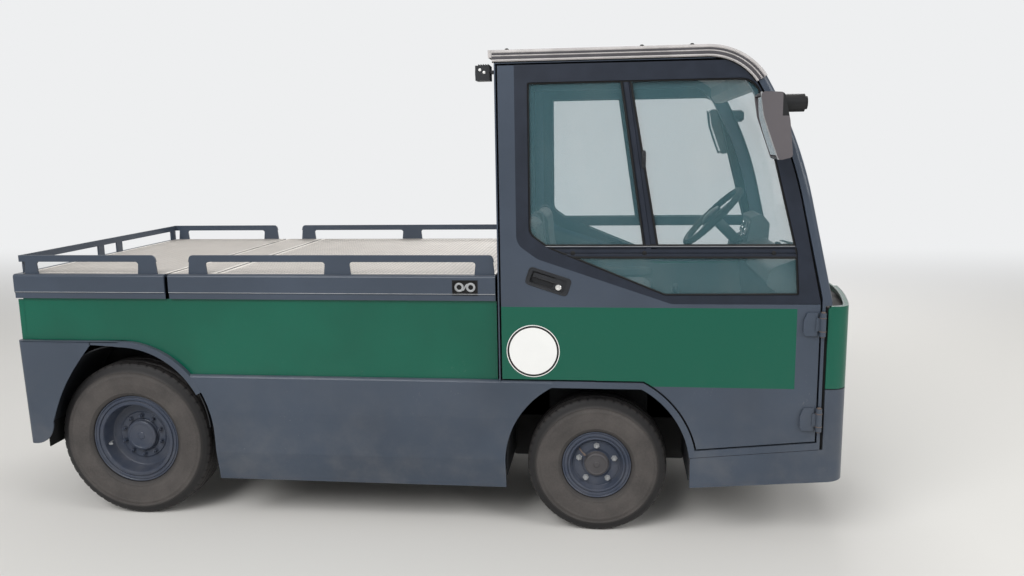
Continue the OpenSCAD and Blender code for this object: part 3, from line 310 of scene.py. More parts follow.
def rounded_outline(rows: Sequence[Sequence[float]], steps: int = 6) -> np.ndarray:
    """Outline with round corners: at each corner an arc touches both of its sides.

    Args:
        rows: X, Z and corner radius of each corner.
        steps: Parts of each arc.

    Returns:
        Rows of X and Z.
    """
    out: list[np.ndarray] = []
    pts = np.array([r[:2] for r in rows], float)
    for k, (_, _, radius) in enumerate(rows):
        a, b, c = pts[k - 1], pts[k], pts[(k + 1) % len(rows)]
        if radius == 0:
            out.append(b[None, :])
            continue
        u, v = (a - b) / np.linalg.norm(a - b), (c - b) / np.linalg.norm(c - b)
        half = math.acos(float(np.clip(u @ v, -1, 1))) / 2
        w = (u + v) / np.linalg.norm(u + v)
        m = b + w * radius / math.sin(half)
        s0, s1 = b + u * radius / math.tan(half), b + v * radius / math.tan(half)
        a0 = math.atan2(*(s0 - m)[::-1])
        turn = (math.atan2(*(s1 - m)[::-1]) - a0 + math.pi) % (2 * math.pi) - math.pi
        t = a0 + turn * np.linspace(0, 1, steps + 1)
        out.append(m + radius * np.column_stack([np.cos(t), np.sin(t)]))
    return np.concatenate(out)


def circle_outline(x: float, z: float, r: float, count: int = 64) -> np.ndarray:
    """Circle about (x, z), anticlockwise seen from the right-hand side."""
    t = turns(count)
    return np.column_stack([x + r * np.cos(t), z + r * np.sin(t)])


def block(lo: Sequence[float], hi: Sequence[float], edge: float = 0.0) -> Surface:
    """Box between two corners; edge is the width of the flats that take off its edges.

    Args:
        lo: Lowest corner.
        hi: Highest corner.
        edge: Width of the chamfer on the X-Z outline and on its two ends.

    Returns:
        The closed surface.
    """
    (x0, y0, z0), (x1, y1, z1) = lo, hi
    if edge <= 0:
        return prism(np.array([[x0, z0], [x1, z0], [x1, z1], [x0, z1]]), y0, y1)
    e = edge

    def ring(inset: float, y: float) -> np.ndarray:
        """Outline of the box at one Y, drawn in by inset, its corners cut.

        Args:
            inset: Distance that the outline moves inwards.
            y: Y of the ring.

        Returns:
            Points of the ring.
        """
        a, b, c, d = x0 + inset, x1 - inset, z0 + inset, z1 - inset
        rows = [
            [a + e, c], [b - e, c], [b, c + e], [b, d - e], [b - e, d], [a + e, d], [a, d - e], [a, c + e]
        ]
        return np.array([[p, y, q] for p, q in rows])

    rings = np.stack([ring(e, y0), ring(0, y0 + e), ring(0, y1 - e), ring(e, y1)])
    s = grid(rings, closed_v=True)
    s.faces = [s.faces[0][:, ::-1]]
    return s.close_ends(rings.shape[1], len(rings))


def lathe(
    profile: np.ndarray, base: Sequence[float], axis: Sequence[float], count: int = 48, phase: float = 0.0
) -> Surface:
    """Turns an open profile about any axis: the point (r, h) goes to base + h axis + r (e1 cos t + e2 sin t).

    Args:
        profile: Rows of radius and height, from the foot outwards and up to the top; both ends are closed by
            a polygon.
        base: Foot of the axis.
        axis: Direction of the axis.
        count: Steps round the circle; 6 makes a hexagon.
        phase: Turn of the first step in radians.

    Returns:
        The closed surface.
    """
    w = np.array(axis, float) / np.linalg.norm(axis)
    e1 = np.cross(w, [0.0, 0.0, 1.0] if abs(w[2]) < 0.9 else [1.0, 0.0, 0.0])
    e1 /= np.linalg.norm(e1)
    e2 = np.cross(w, e1)
    t = turns(count)[:, None, None] + phase
    r, h = profile[None, :, 0, None], profile[None, :, 1, None]
    p = np.array(base) + h * w + r * (e1 * np.cos(t) + e2 * np.sin(t))
    s = grid(p, closed_u=True)
    n = len(profile)
    ring = np.arange(count) * n
    s.faces.append(ring[::-1][None, :])
    s.faces.append((ring + n - 1)[None, :])
    return s


def pillow(lo: Sequence[float], hi: Sequence[float], power: float = 4.0, count: int = 20) -> Surface:
    """Rounded box: each unit direction d is scaled so that |x|^p + |y|^p + |z|^p = 1, then stretched to the
    box.

    Args:
        lo: Lowest corner.
        hi: Highest corner.
        power: p; 2 is an ellipsoid, 8 a box with tight edges.
        count: Steps from pole to pole, half the steps round.

    Returns:
        The closed surface, its poles on the line parallel to Z.
    """
    a = np.linspace(0, np.pi, count + 1)[1:-1][None, :]
    b = turns(2 * count)[:, None]
    d = np.stack([np.sin(a) * np.cos(b), np.sin(a) * np.sin(b), np.cos(a) + 0 * b], -1)
    d /= np.sum(np.abs(d) ** power, -1, keepdims=True) ** (1 / power)
    half, mid = (np.array(hi) - np.array(lo)) / 2, (np.array(hi) + np.array(lo)) / 2
    n = count - 1
    s = grid(mid + d * half, closed_u=True)
    s.faces = [s.faces[0][:, ::-1]]
    top, low = len(s.points), len(s.points) + 1
    s.points = np.concatenate([s.points, [mid + [0, 0, half[2]], mid - [0, 0, half[2]]]])
    k = np.arange(2 * count)
    nxt = (k + 1) % (2 * count)
    s.faces.append(np.stack([k * n, nxt * n, np.full(2 * count, top)], -1))
    s.faces.append(np.stack([k * n + n - 1, np.full(2 * count, low), nxt * n + n - 1], -1))
    return s


def loop_at(outline: np.ndarray, y: float) -> np.ndarray:
    """Path in space of an X-Z outline at one Y."""
    return track(outline[:, 0], y, outline[:, 1])


def spread(outline: np.ndarray, step: float) -> np.ndarray:
    """Closed outline with points no further apart than a step along each of its sides.

    Args:
        outline: Points of the outline.
        step: Largest distance between points.

    Returns:
        Points of the outline with the added ones.
    """
    nxt = np.roll(outline, -1, 0)
    lengths = np.linalg.norm(nxt - outline, axis=1)
    parts = [
        a + (b - a) * np.linspace(0, 1, max(int(d / step), 1), endpoint=False)[:, None] for a, b,
        d in zip(outline, nxt, lengths)
    ]
    return np.concatenate(parts)


def slab(front: np.ndarray, back: np.ndarray) -> Surface:
    """Closed sheet between two grids of the same shape, with a wall of quads round the edge of both.

    Args:
        front: Array of shape (u, v, 3).
        back: The other face, point for point.

    Returns:
        The closed surface.
    """
    n, m = front.shape[:2]
    both = Surface.join([grid(front), grid(back)])
    both.faces[1] = both.faces[1][:, ::-1]
    rim = [
        np.arange(m), np.arange(1, n) * m + m - 1, (n - 1) * m + np.arange(m - 2, -1, -1),
        np.arange(n - 2, 0, -1) * m,
    ]
    ring = np.concatenate(rim)
    nxt = np.roll(ring, -1)
    both.faces.append(np.stack([ring, ring + n * m, nxt + n * m, nxt], -1))
    return both


def to_mesh(name: str, surface: Surface) -> bpy.types.Mesh:
    """Writes a surface into a new mesh with whole arrays.

    Args:
        name: Name of the mesh.
        surface: The surface.

    Returns:
        The mesh.
    """
    mesh = bpy.data.meshes.new(name)
    sizes = np.concatenate([np.full(len(f), f.shape[1]) for f in surface.faces])
    loops = np.concatenate([f.reshape(-1) for f in surface.faces])
    mesh.vertices.add(len(surface.points))
    mesh.vertices.foreach_set("co", surface.points.astype(np.float32).reshape(-1))
    mesh.loops.add(len(loops))
    mesh.loops.foreach_set("vertex_index", loops.astype(np.int32))
    mesh.polygons.add(len(sizes))
    mesh.polygons.foreach_set("loop_start", np.concatenate([[0], np.cumsum(sizes)[:-1]]).astype(np.int32))
    mesh.update(calc_edges=True)
    mesh.validate()
    # every closed shell in the mesh gets its front outside
    net = bmesh.new()
    net.from_mesh(mesh)
    bmesh.ops.recalc_face_normals(net, faces=net.faces)
    net.to_mesh(mesh)
    net.free()
    return mesh


# Finishes


class Graph:
    """Adds shader nodes to one material and links them."""

    def __init__(self, name: str) -> None:
        """Starts a material with a Principled shader and an output.

        Args:
            name: Name of the material.
        """
        self.material = bpy.data.materials.new(name)
        self.material.use_nodes = True
        self.tree = self.material.node_tree
        self.tree.nodes.clear()
        self.shader = self.tree.nodes.new("ShaderNodeBsdfPrincipled")
        output = self.tree.nodes.new("ShaderNodeOutputMaterial")
        self.tree.links.new(self.shader.outputs[0], output.inputs[0])
        self.place = self.tree.nodes.new("ShaderNodeTexCoord").outputs["Object"]

    def set(self, **values: object) -> None:
        """Sets sockets of the Principled shader by name, with _ for a space."""
        for key, value in values.items():
            self.shader.inputs[key.replace("_", " ")].default_value = value

    def link(self, source: bpy.types.NodeSocket, target: str) -> None:
        """Links a socket to an input of the Principled shader."""
        self.tree.links.new(source, self.shader.inputs[target])

    def feed(self, target: bpy.types.NodeSocket, value: object) -> None:
        """Links or sets one input, whichever the value calls for.

        Args:
            target: Input socket.
            value: A number, a colour or an output socket.
        """
        if isinstance(value, bpy.types.NodeSocket):
            self.tree.links.new(value, target)
        else:
            target.default_value = value

    def noise(
        self, scale: float, detail: float = 3.0, rough: float = 0.5, stretch: Sequence[float] = (1, 1, 1)
    ) -> object:
        """Noise on Object coordinates.

        Args:
            scale: Size of the pattern, in waves a metre.
            detail: Octaves.
            rough: Weight of the finer octaves.
            stretch: Scale along X, Y and Z.

        Returns:
            The noise value's socket.
        """
        place = self.place
        if tuple(stretch) != (1, 1, 1):
            mapping = self.tree.nodes.new("ShaderNodeMapping")
            mapping.inputs["Scale"].default_value = tuple(stretch)
            self.tree.links.new(place, mapping.inputs["Vector"])
            place = mapping.outputs[0]
        node = self.tree.nodes.new("ShaderNodeTexNoise")
        node.inputs["Scale"].default_value = scale
        node.inputs["Detail"].default_value = detail
        node.inputs["Roughness"].default_value = rough
        self.tree.links.new(place, node.inputs["Vector"])
        return node.outputs["Fac"]

    def math(self, kind: str, a: object, b: object = 0.0) -> object:
        """Sum, product or other operation of two values or sockets; returns the result's socket.

        Args:
            kind: Name of the operation.
            a: First value.
            b: Second value.

        Returns:
            The output socket.
        """
        node = self.tree.nodes.new("ShaderNodeMath")
        node.operation = kind
        self.feed(node.inputs[0], a)
        self.feed(node.inputs[1], b)
        return node.outputs[0]

    def ramp(self, value: object, lo: float, hi: float, to_lo: float = 0.0, to_hi: float = 1.0) -> object:
        """Maps a range smoothly to another and keeps inside it; returns the result's socket.

        Args:
            value: A number, a colour or an output socket.
            lo: Value that gives to_lo.
            hi: Value that gives to_hi.
            to_lo: Lower end of the result.
            to_hi: Upper end of the result.

        Returns:
            The output socket.
        """
        node = self.tree.nodes.new("ShaderNodeMapRange")
        node.interpolation_type = "SMOOTHSTEP"
        for key, v in (
            ("Value", value), ("From Min", lo), ("From Max", hi), ("To Min", to_lo), ("To Max", to_hi)
        ):
            self.feed(node.inputs[key], v)
        return node.outputs[0]

    def mix(self, factor: object, a: object, b: object) -> object:
        """Blends two colours; returns the result's socket.

        Args:
            factor: Share of the second value.
            a: First value.
            b: Second value.

        Returns:
            The output socket.
        """
        node = self.tree.nodes.new("ShaderNodeMix")
        node.data_type = "RGBA"
        for socket, v in ((node.inputs[0], factor), (node.inputs[6], a), (node.inputs[7], b)):
            if isinstance(v, tuple) and len(v) == 3:
                v = (*v, 1.0)
            self.feed(socket, v)
        return node.outputs[2]

    def axis(self, name: str) -> object:
        """The X, Y or Z of the Object coordinates, as a socket.

        Args:
            name: Name of the axis.

        Returns:
            The output socket.
        """
        node = self.tree.nodes.new("ShaderNodeSeparateXYZ")
        self.tree.links.new(self.place, node.inputs[0])
        return node.outputs[name]

    def up(self) -> object:
        """How far a face looks up, from -1 to 1, as a socket.

        Returns:
            The output socket.
        """
        geometry = self.tree.nodes.new("ShaderNodeNewGeometry")
        node = self.tree.nodes.new("ShaderNodeSeparateXYZ")
        self.tree.links.new(geometry.outputs["Normal"], node.inputs[0])
        return node.outputs["Z"]

    def bump(self, height: object, strength: float, distance: float) -> None:
        """Feeds a height into the shader's normal through a Bump node.

        Args:
            height: Socket of the height.
            strength: Weight from 0 to 1.
            distance: Depth in metres of a height of 1.
        """
        node = self.tree.nodes.new("ShaderNodeBump")
        node.inputs["Strength"].default_value = strength
        node.inputs["Distance"].default_value = distance
        self.tree.links.new(height, node.inputs["Height"])
        self.tree.links.new(node.outputs[0], self.shader.inputs["Normal"])


@dataclass(frozen=True)
class Paint:
    """Two-coat vehicle paint with orange peel, a film of dust and spatter near the ground.

    Attributes:
        name: Name of the material.
        colour: Linear colour.
        band: Linear colour of a stripe, or None.
        band_x: Rear and front end of the stripe.
        band_z: Lower and upper edge of the stripe.
        roughness: Gloss of the clean paint.
        dust: Strength of the dust.
    """

    name: str
    colour: RGB
    band: RGB | None = None
    band_x: tuple[float, float] = (-9.0, 9.0)
    band_z: tuple[float, float] = (0.0, 0.0)
    roughness: float = 0.34
    dust: float = 0.5

    def build(self) -> bpy.types.Material:
        """Makes the material: cloudy dust by height and by upward faces over slightly uneven paint.

        Returns:
            The material.
        """
        g = Graph(self.name)
        cloud = g.noise(2.6, 5, 0.55)
        base = g.mix(
            g.ramp(cloud, 0.3, 0.7), tuple(c * 0.92 for c in self.colour), tuple(c * 1.1 for c in self.colour)
        )
        if self.band is not None:
            x, z = g.axis("X"), g.axis("Z")
            inside = g.math(
                "MULTIPLY", g.math("GREATER_THAN", z, self.band_z[0]), g.math("LESS_THAN", z, self.band_z[1])
            )
            inside = g.math("MULTIPLY", inside, g.math("GREATER_THAN", x, self.band_x[0]))
            inside = g.math("MULTIPLY", inside, g.math("LESS_THAN", x, self.band_x[1]))
            base = g.mix(inside, base, self.band)
        low = g.ramp(g.axis("Z"), 0.75, 0.15)
        film = g.math("MULTIPLY", low, g.ramp(g.noise(7, 6, 0.62), 0.35, 0.85))
        spatter = g.math(
            "MULTIPLY", g.ramp(g.noise(150, 2, 0.5), 0.66, 0.74), g.ramp(g.noise(5, 3, 0.6), 0.5, 0.75)
        )
        spatter = g.math("MULTIPLY", spatter, g.ramp(g.axis("Z"), 0.95, 0.45))
        top = g.math("MULTIPLY", g.ramp(g.up(), 0.4, 0.95), g.ramp(g.noise(11, 5, 0.6), 0.2, 0.85))
        dirt = g.math("MAXIMUM", g.math("MULTIPLY", film, 0.3), g.math("MULTIPLY", top, 0.28))
        dirt = g.math("MULTIPLY", g.math("MAXIMUM", dirt, g.math("MULTIPLY", spatter, 0.55)), self.dust)
        g.link(g.mix(dirt, base, linear(156, 150, 142)), "Base Color")
        scuff = g.ramp(g.noise(90, 4, 0.7, (0.15, 1, 1.4)), 0.55, 0.8)
        rough = g.math("ADD", g.math("MULTIPLY", scuff, 0.12), self.roughness)
        g.link(g.math("ADD", rough, g.math("MULTIPLY", dirt, 0.9)), "Roughness")
        g.set(Coat_Weight=0.12, Coat_Roughness=0.12, Specular_IOR_Level=0.3)
        g.bump(g.noise(420, 2, 0.5), 0.25, 0.0004)
        return g.material


@dataclass(frozen=True)
class Grained:
    """Moulded or powder-coated surface with a fine grain and dust on what looks up.

    Attributes:
        name: Name of the material.
        colour: Linear colour.
        roughness: Gloss.
        grain: Depth of the grain in metres.
        dust: Strength of the dust.
        metallic: 1 for bare metal.
        scale: Size of the grain, in waves a metre.
        mottle: Share by which the colour varies.
    """

    name: str
    colour: RGB
    roughness: float = 0.55
    grain: float = 0.0003
    dust: float = 0.3
    metallic: float = 0.0
    scale: float = 900.0
    mottle: float = 0.12

    def build(self) -> bpy.types.Material:
        """Makes the material: mottled colour, grain as a bump and dust on the faces that look up.

        Returns:
            The material.
        """
        g = Graph(self.name)
        mottle = g.ramp(g.noise(14, 5, 0.6), 0.3, 0.75)
        low, high = 1 - self.mottle, 1 + self.mottle
        base = g.mix(
            mottle, tuple(c * low for c in self.colour), tuple(min(c * high, 1) for c in self.colour)
        )
        top = g.math("MULTIPLY", g.ramp(g.up(), 0.2, 0.95), g.ramp(g.noise(9, 5, 0.6), 0.25, 0.8))
        dirt = g.math("MULTIPLY", top, self.dust)
        g.link(g.mix(dirt, base, linear(150, 144, 136)), "Base Color")
        g.link(g.math("ADD", g.math("MULTIPLY", mottle, 0.1), self.roughness), "Roughness")
        g.set(Metallic=self.metallic, Specular_IOR_Level=0.35)
        g.bump(g.noise(self.scale, 2, 0.6), 0.5, self.grain)
        return g.material


@dataclass(frozen=True)
class Rubber:
    """Tyre rubber greyed by dust: most on the sidewall and the tread's crown, none in the ring near the
    shoulder.

    Attributes:
        name: Name of the material.
        colour: Linear colour of clean rubber.
        dust_colour: Linear colour of the dust.
    """

    name: str
    colour: RGB
    dust_colour: RGB

    def build(self) -> bpy.types.Material:
        """Makes the material: dust by the height attribute of the tyre, which is 0 at the bead and 1 on the
        crown.

        Returns:
            The material.
        """
        g = Graph(self.name)
        height = g.tree.nodes.new("ShaderNodeAttribute")
        height.attribute_name = "height"
        high = height.outputs["Fac"]
        patches = g.ramp(g.noise(9, 5, 0.6), 0.25, 0.75)
        fine = g.ramp(g.noise(140, 4, 0.6), 0.3, 0.8)
        wall = g.math("MULTIPLY", g.ramp(high, 0.04, 0.3), g.ramp(high, 0.84, 0.7))
        crown = g.ramp(high, 0.9, 0.99)
        dirt = g.math("MAXIMUM", wall, g.math("MULTIPLY", crown, 0.8))
        dirt = g.math(
            "MULTIPLY", dirt, g.math("ADD", g.math("MULTIPLY", patches, 0.3), g.math("MULTIPLY", fine, 0.15))
        )
        dirt = g.math("ADD", dirt, g.math("MULTIPLY", wall, 0.3))
        g.link(g.mix(dirt, self.colour, self.dust_colour), "Base Color")
        g.link(g.ramp(dirt, 0, 1, 0.6, 0.92), "Roughness")
        g.set(Specular_IOR_Level=0.35)
        g.bump(g.noise(700, 3, 0.6), 0.5, 0.0005)
        return g.material


@dataclass(frozen=True)
class Pane:
    """Thin tinted safety glass with a few wiped smears.

    Attributes:
        name: Name of the material.
        colour: Linear tint.
        alpha: Share of the light that the pane holds back.
    """

    name: str
    colour: RGB
    alpha: float = 0.3

    def build(self) -> bpy.types.Material:
        """Makes the material: a clear tinted shader, its smears as a faint change of gloss.

        Returns:
            The material.
        """
        g = Graph(self.name)
        smear = g.ramp(g.noise(5, 5, 0.65, (1, 1, 0.4)), 0.45, 0.8)
        g.link(g.mix(g.math("MULTIPLY", smear, 0.25), self.colour, linear(190, 205, 200)), "Base Color")
        g.link(g.ramp(smear, 0, 1, 0.02, 0.1), "Roughness")
        g.set(Alpha=self.alpha, Specular_IOR_Level=1.0, IOR=1.5)
        return g.material


@dataclass(frozen=True)
class Shine:
    """Clean hard surface such as a lens, a chromed part or mirror glass.

    Attributes:
        name: Name of the material.
        colour: Linear colour.
        roughness: Gloss.
        metallic: 1 for metal.
        transmission: 1 for a clear lens.
        ribs: Waves a metre of the moulded ribs, 0 for none.
    """

    name: str
    colour: RGB
    roughness: float = 0.08
    metallic: float = 0.0
    transmission: float = 0.0
    ribs: float = 0.0

    def build(self) -> bpy.types.Material:
        """Makes the material: faint dust clouds over a glossy base, with ribs as a bump where there are any.

        Returns:
            The material.
        """
        g = Graph(self.name)
        cloud = g.ramp(g.noise(30, 4, 0.6), 0.4, 0.85)
        g.link(g.mix(g.math("MULTIPLY", cloud, 0.2), self.colour, linear(150, 148, 144)), "Base Color")
        g.link(g.ramp(cloud, 0, 1, self.roughness, self.roughness + 0.12), "Roughness")
        g.set(Metallic=self.metallic, Transmission_Weight=self.transmission)
        if self.ribs:
            wave = g.tree.nodes.new("ShaderNodeTexWave")
            wave.bands_direction = "Y"
            wave.inputs["Scale"].default_value = self.ribs
            g.tree.links.new(g.place, wave.inputs["Vector"])
            g.bump(wave.outputs["Fac"], 0.6, 0.0012)
        return g.material


@dataclass(frozen=True)
class Woven:
    """Seat cloth: two crossing sets of threads as a bump and as a fine change of colour.

    Attributes:
        name: Name of the material.
        colour: Linear colour.
        threads: Threads a metre.
    """

    name: str
    colour: RGB
    threads: float = 420.0

    def build(self) -> bpy.types.Material:
        """Makes the material: the product of two sine waves along X and Y plus Z gives the weave.

        Returns:
            The material.
        """
        g = Graph(self.name)
        across = g.math("ADD", g.axis("X"), g.axis("Z"))
        k = self.threads * 2 * math.pi
        weave = g.math(
            "MULTIPLY", g.math("SINE", g.math("MULTIPLY", across, k)),
            g.math("SINE", g.math("MULTIPLY", g.axis("Y"), k)),
        )
        weave = g.ramp(weave, -1, 1)
        worn = g.ramp(g.noise(6, 4, 0.6), 0.35, 0.75)
        base = g.mix(weave, tuple(c * 0.6 for c in self.colour), tuple(c * 1.5 for c in self.colour))
        g.link(g.mix(g.math("MULTIPLY", worn, 0.25), base, linear(96, 94, 92)), "Base Color")
        g.set(Roughness=0.85, Sheen_Weight=0.3, Sheen_Roughness=0.5)
        g.bump(weave, 0.6, 0.0006)
        return g.material


SLATE = linear(62, 71, 84)
GREEN = linear(4, 84, 66)


class Finishes:
    """All finishes of the tug, each made once when first asked for.

    Attributes:
        made: Materials made so far, by finish.
    """

    kinds = {
        "slate": Paint("slate_paint", SLATE),
        "door": Paint("door_paint", SLATE, GREEN, (CAB - 0.1, CAB + 1.085), (0.607, 0.905)),
        "green": Paint("green_paint", GREEN, roughness=0.3),
        "rim": Paint("rim_paint", linear(52, 60, 76), roughness=0.38, dust=0.6),
        "dark": Grained("dark_frame", linear(28, 35, 48), 0.42, 0.0001, 0.1, scale=600),
        "black": Grained("black_steel", linear(30, 31, 33), 0.5, 0.0003, 0.25, scale=500),
        "steel": Grained("bare_steel", linear(150, 152, 156), 0.32, 0.0001, 0.1, metallic=1.0),
        "deck": Grained(
            "deck_plate", linear(192, 186, 180), 0.5, 0.0002, 0.2, metallic=0.2, scale=300, mottle=0.05
        ),
        "bright": Grained(
            "worn_plate", linear(226, 220, 212), 0.36, 0.0001, 0.1, metallic=0.4, scale=400, mottle=0.05
        ),
        "roof": Grained("roof_shell", linear(186, 182, 181), 0.6, 0.0003, 0.2),
        "trim": Grained("roof_band", linear(72, 70, 74), 0.55, 0.0002, 0.15),
        "pale": Grained("pale_steel", linear(158, 160, 162), 0.42, 0.0001, 0.2, metallic=0.3),
        "rust": Grained("rusty_steel", linear(98, 86, 80), 0.75, 0.0004, 0.2, scale=400),
        "plastic": Grained("black_plastic", linear(34, 36, 40), 0.5, 0.0003, 0.2),
        "grey": Grained("grey_plastic", linear(84, 88, 90), 0.6, 0.0004, 0.25),
        "battery": Grained("battery_case", linear(48, 52, 58), 0.5, 0.0003, 0.3),
        "hub": Grained("hub_cap", linear(72, 70, 72), 0.5, 0.0003, 0.3, scale=500),
        "tyre": Rubber("tyre_rubber", linear(32, 31, 32), linear(98, 93, 90)),
        "seal": Grained("rubber_seal", linear(18, 18, 19), 0.65, 0.0002, 0.1),
        "pane": Pane("tinted_glass", linear(96, 142, 152), 0.19),
        "mirror_shell": Paint(
            "mirror_shell", linear(88, 84, 87), linear(28, 29, 31), (CAB + 0.973, 9.0), (1.582, 9.0), 0.5,
            0.4,
        ),
        "mirror": Shine("mirror_glass", (0.42, 0.44, 0.47), 0.02, 1.0),
        "lens": Shine("lamp_clear", (0.9, 0.92, 0.94), 0.05, 0.0, 0.85, ribs=40),
        "red": Shine("lamp_red", linear(150, 16, 12), 0.12, ribs=40),
        "amber": Shine("lamp_amber", linear(214, 110, 14), 0.12, ribs=40),
        "chrome": Shine("chrome", (0.8, 0.8, 0.8), 0.12, 1.0),
        "white": Grained("white_film", linear(232, 232, 230), 0.4, 0.00005, 0.05, mottle=0.01),
        "ink": Grained("black_film", linear(22, 22, 22), 0.4, 0.00005, 0.05),
        "glow": Shine("lamp_glow", linear(240, 240, 232), 0.2),
        "pale_trim": Grained("seat_welt", linear(92, 94, 98), 0.7, 0.0003, 0.1),
        "cloth": Woven("seat_cloth", linear(38, 39, 42)),
    }
    made: dict[str, bpy.types.Material] = {}

    @classmethod
    def get(cls, key: str) -> bpy.types.Material:
        """Returns a finish, building it the first time.

        Args:
            key: Name of the finish.

        Returns:
            The material.
        """
        if key not in cls.made:
            cls.made[key] = cls.kinds[key].build()
        return cls.made[key]


def piece(
    name: str, parts: Surface | Sequence[Surface], finish: str, body: str, smooth: float = 35.0,
    bevel: float = 0.0,
) -> bpy.types.Object:
    """Makes one piece of the tug and sets it on its body.

    Args:
        name: Name of the piece.
        parts: One surface or several, which become one mesh.
        finish: Key of the finish.
        body: Body that it rides on.
        smooth: Angle in degrees below which edges are shaded smooth.
        bevel: Radius that a Bevel modifier gives its sharp edges, 0 for none.

    Returns:
        The object.
    """
    surface = parts if isinstance(parts, Surface) else Surface.join(list(parts))
    mesh = to_mesh(name, surface)
    obj = bpy.data.objects.new(name, mesh)
    bpy.context.scene.collection.objects.link(obj)
    mesh.materials.append(Finishes.get(finish))
    mesh.shade_smooth()
    mesh.set_sharp_from_angle(angle=math.radians(smooth))
    if bevel > 0:
        mod = obj.modifiers.new("edges", "BEVEL")
        mod.width, mod.segments, mod.limit_method = bevel, 2, "ANGLE"
    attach(obj, body)
    LOG.info("piece %s: %d points, finish %s, body %s", name, len(surface.points), finish, body)
    return obj


# Sub-assemblies


@dataclass(frozen=True)
class WheelSize:
    """Sizes of the wheels of one axle.

    Attributes:
        axle: The axle.
        x: Its place.
        y: Distance of the wheel's middle from the centre line.
        radius: Outer radius of the tyre, the height of the axle.
        width: Section width of the tyre.
        blocks: Count of shoulder blocks round the tyre.
        seat: Radius of the bead seat.
        flange: Radius of the rim flange.
        bead: Distance of the beads from the wheel's middle.
        well: Depth of the well below the bead seat.
        dish: Distance of the disc's face behind the bead.
        bore: Radius of the hole for the axle.
        hub: Radius of the hub cap.
        nuts: Count of the nuts.
        nut_ring: Radius of their circle.
        nut: Half width of a nut.
        valve: Angle of the valve stem in degrees from +X.
        finishes: Finishes of the hub cap, the nuts and the valve stem.
    """

    axle: Axle
    x: float
    y: float
    radius: float
    width: float
    blocks: int
    seat: float
    flange: float
    bead: float
    well: float
    dish: float
    bore: float
    hub: float
    nuts: int
    nut_ring: float
    nut: float
    valve: float
    finishes: tuple[str, str, str]


@dataclass
class Tyre:
    """One pneumatic tyre with a ribbed tread, cut shoulders and rings on its sidewall.

    Attributes:
        size: Sizes of the axle's wheels.
        side: Side of the tug.
    """

    size: WheelSize
    side: Side

    def section(self) -> tuple[np.ndarray, np.ndarray, np.ndarray]:
        """Works out the half section from the bead to the middle of the tread.

        Returns:
            Radius, distance from the middle plane, and a mask that is 1 on the tread.
        """
        r, w, s, f = self.size.radius, self.size.width, self.size.seat, self.size.flange
        high = r - s
        knots = np.array([
            [s, 0.36 * w], [f, 0.36 * w], [f + 0.003, 0.43 * w], [s + 0.30 * high, 0.480 * w],
            [s + 0.45 * high, 0.497 * w], [s + 0.62 * high, 0.492 * w], [r - 0.22 * high, 0.468 * w],
            [r - 0.09 * high, 0.43 * w], [r - 0.035 * high, 0.395 * w], [r - 0.012 * high, 0.34 * w],
            [r, 0.2 * w], [r, 0.0],
        ])
        along = np.concatenate([[0], np.cumsum(np.linalg.norm(np.diff(knots, axis=0), axis=1))])
        t = np.linspace(0, along[-1], 64)
        rr, yy = np.interp(t, along, knots[:, 0]), np.interp(t, along, knots[:, 1])
        tread = np.clip((rr - (r - 0.10 * high)) / (0.05 * high), 0, 1)
        # raised rings on the sidewall: three narrow ribs at set heights
        wall = (rr > f + 0.006) & (rr < r - 0.18 * high)
        for at, deep, wide in ((0.22, 0.0022, 0.004), (0.66, 0.0022, 0.004), (0.76, 0.0030, 0.003)):
            yy = yy + wall * deep * np.exp(-(((rr - s) - at * high) / wide) ** 2)
        return rr, np.minimum(yy, 0.5 * w), tread

    def build(self) -> None:
        """Makes the tyre: the section turned about the axle, with grooves and shoulder cuts pressed in.

        The radius at angle a and offset y is r minus the depth of three wavy grooves, which follow
        y = y0 + 2.5 mm sin(n a), minus the depth of the cross cuts on the shoulders.
        """
        rr, yy, tread = self.section()
        rad = np.concatenate([rr, rr[-2::-1]])
        off = np.concatenate([-yy, yy[-2::-1]])
        mask = np.concatenate([tread, tread[-2::-1]])
        count = self.size.blocks * 6
        a = turns(count)[:, None]
        r, y, m = rad[None, :], off[None, :], mask[None, :]
        cut = np.zeros((count, len(rad)))
        for k in (-0.24, 0.0, 0.24):
            centre = k * self.size.width + 0.0025 * np.sin(self.size.blocks / 2 * a)
            cut = np.maximum(cut, np.clip(1.6 - np.abs(y - centre) / 0.0032, 0, 1))
        phase = (a * self.size.blocks / (2 * np.pi)) % 1
        notch = np.clip(1.6 - np.abs(phase - 0.5) * 14, 0, 1) * np.clip(
            (np.abs(y) - 0.33 * self.size.width) / 0.006, 0, 1
        )
        cut = np.maximum(cut, 0.3 * notch) * m
        r = r - 0.008 * cut
        shrink = 1 - 0.01 * notch * m
        p = np.stack([r * np.cos(a), y * shrink, r * np.sin(a)], -1)
        centre = np.array([self.size.x, self.side.value * self.size.y, self.size.radius])
        skin = grid(p + centre, closed_u=True, closed_v=True)
        name = f"{self.size.axle.value}_tyre_{self.side.word}_treaded"
        obj = piece(name, skin, "tyre", f"{self.size.axle.value}_wheel_{self.side.word}", 28)
        height = obj.data.attributes.new("height", "FLOAT", "POINT")
        share = (r + 0 * y - self.size.seat) / (self.size.radius - self.size.seat) - 0.5 * cut
        height.data.foreach_set("value", share.astype(np.float32).reshape(-1))
        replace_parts(obj, f"{self.size.axle.value}_tyre_{self.side.word}")


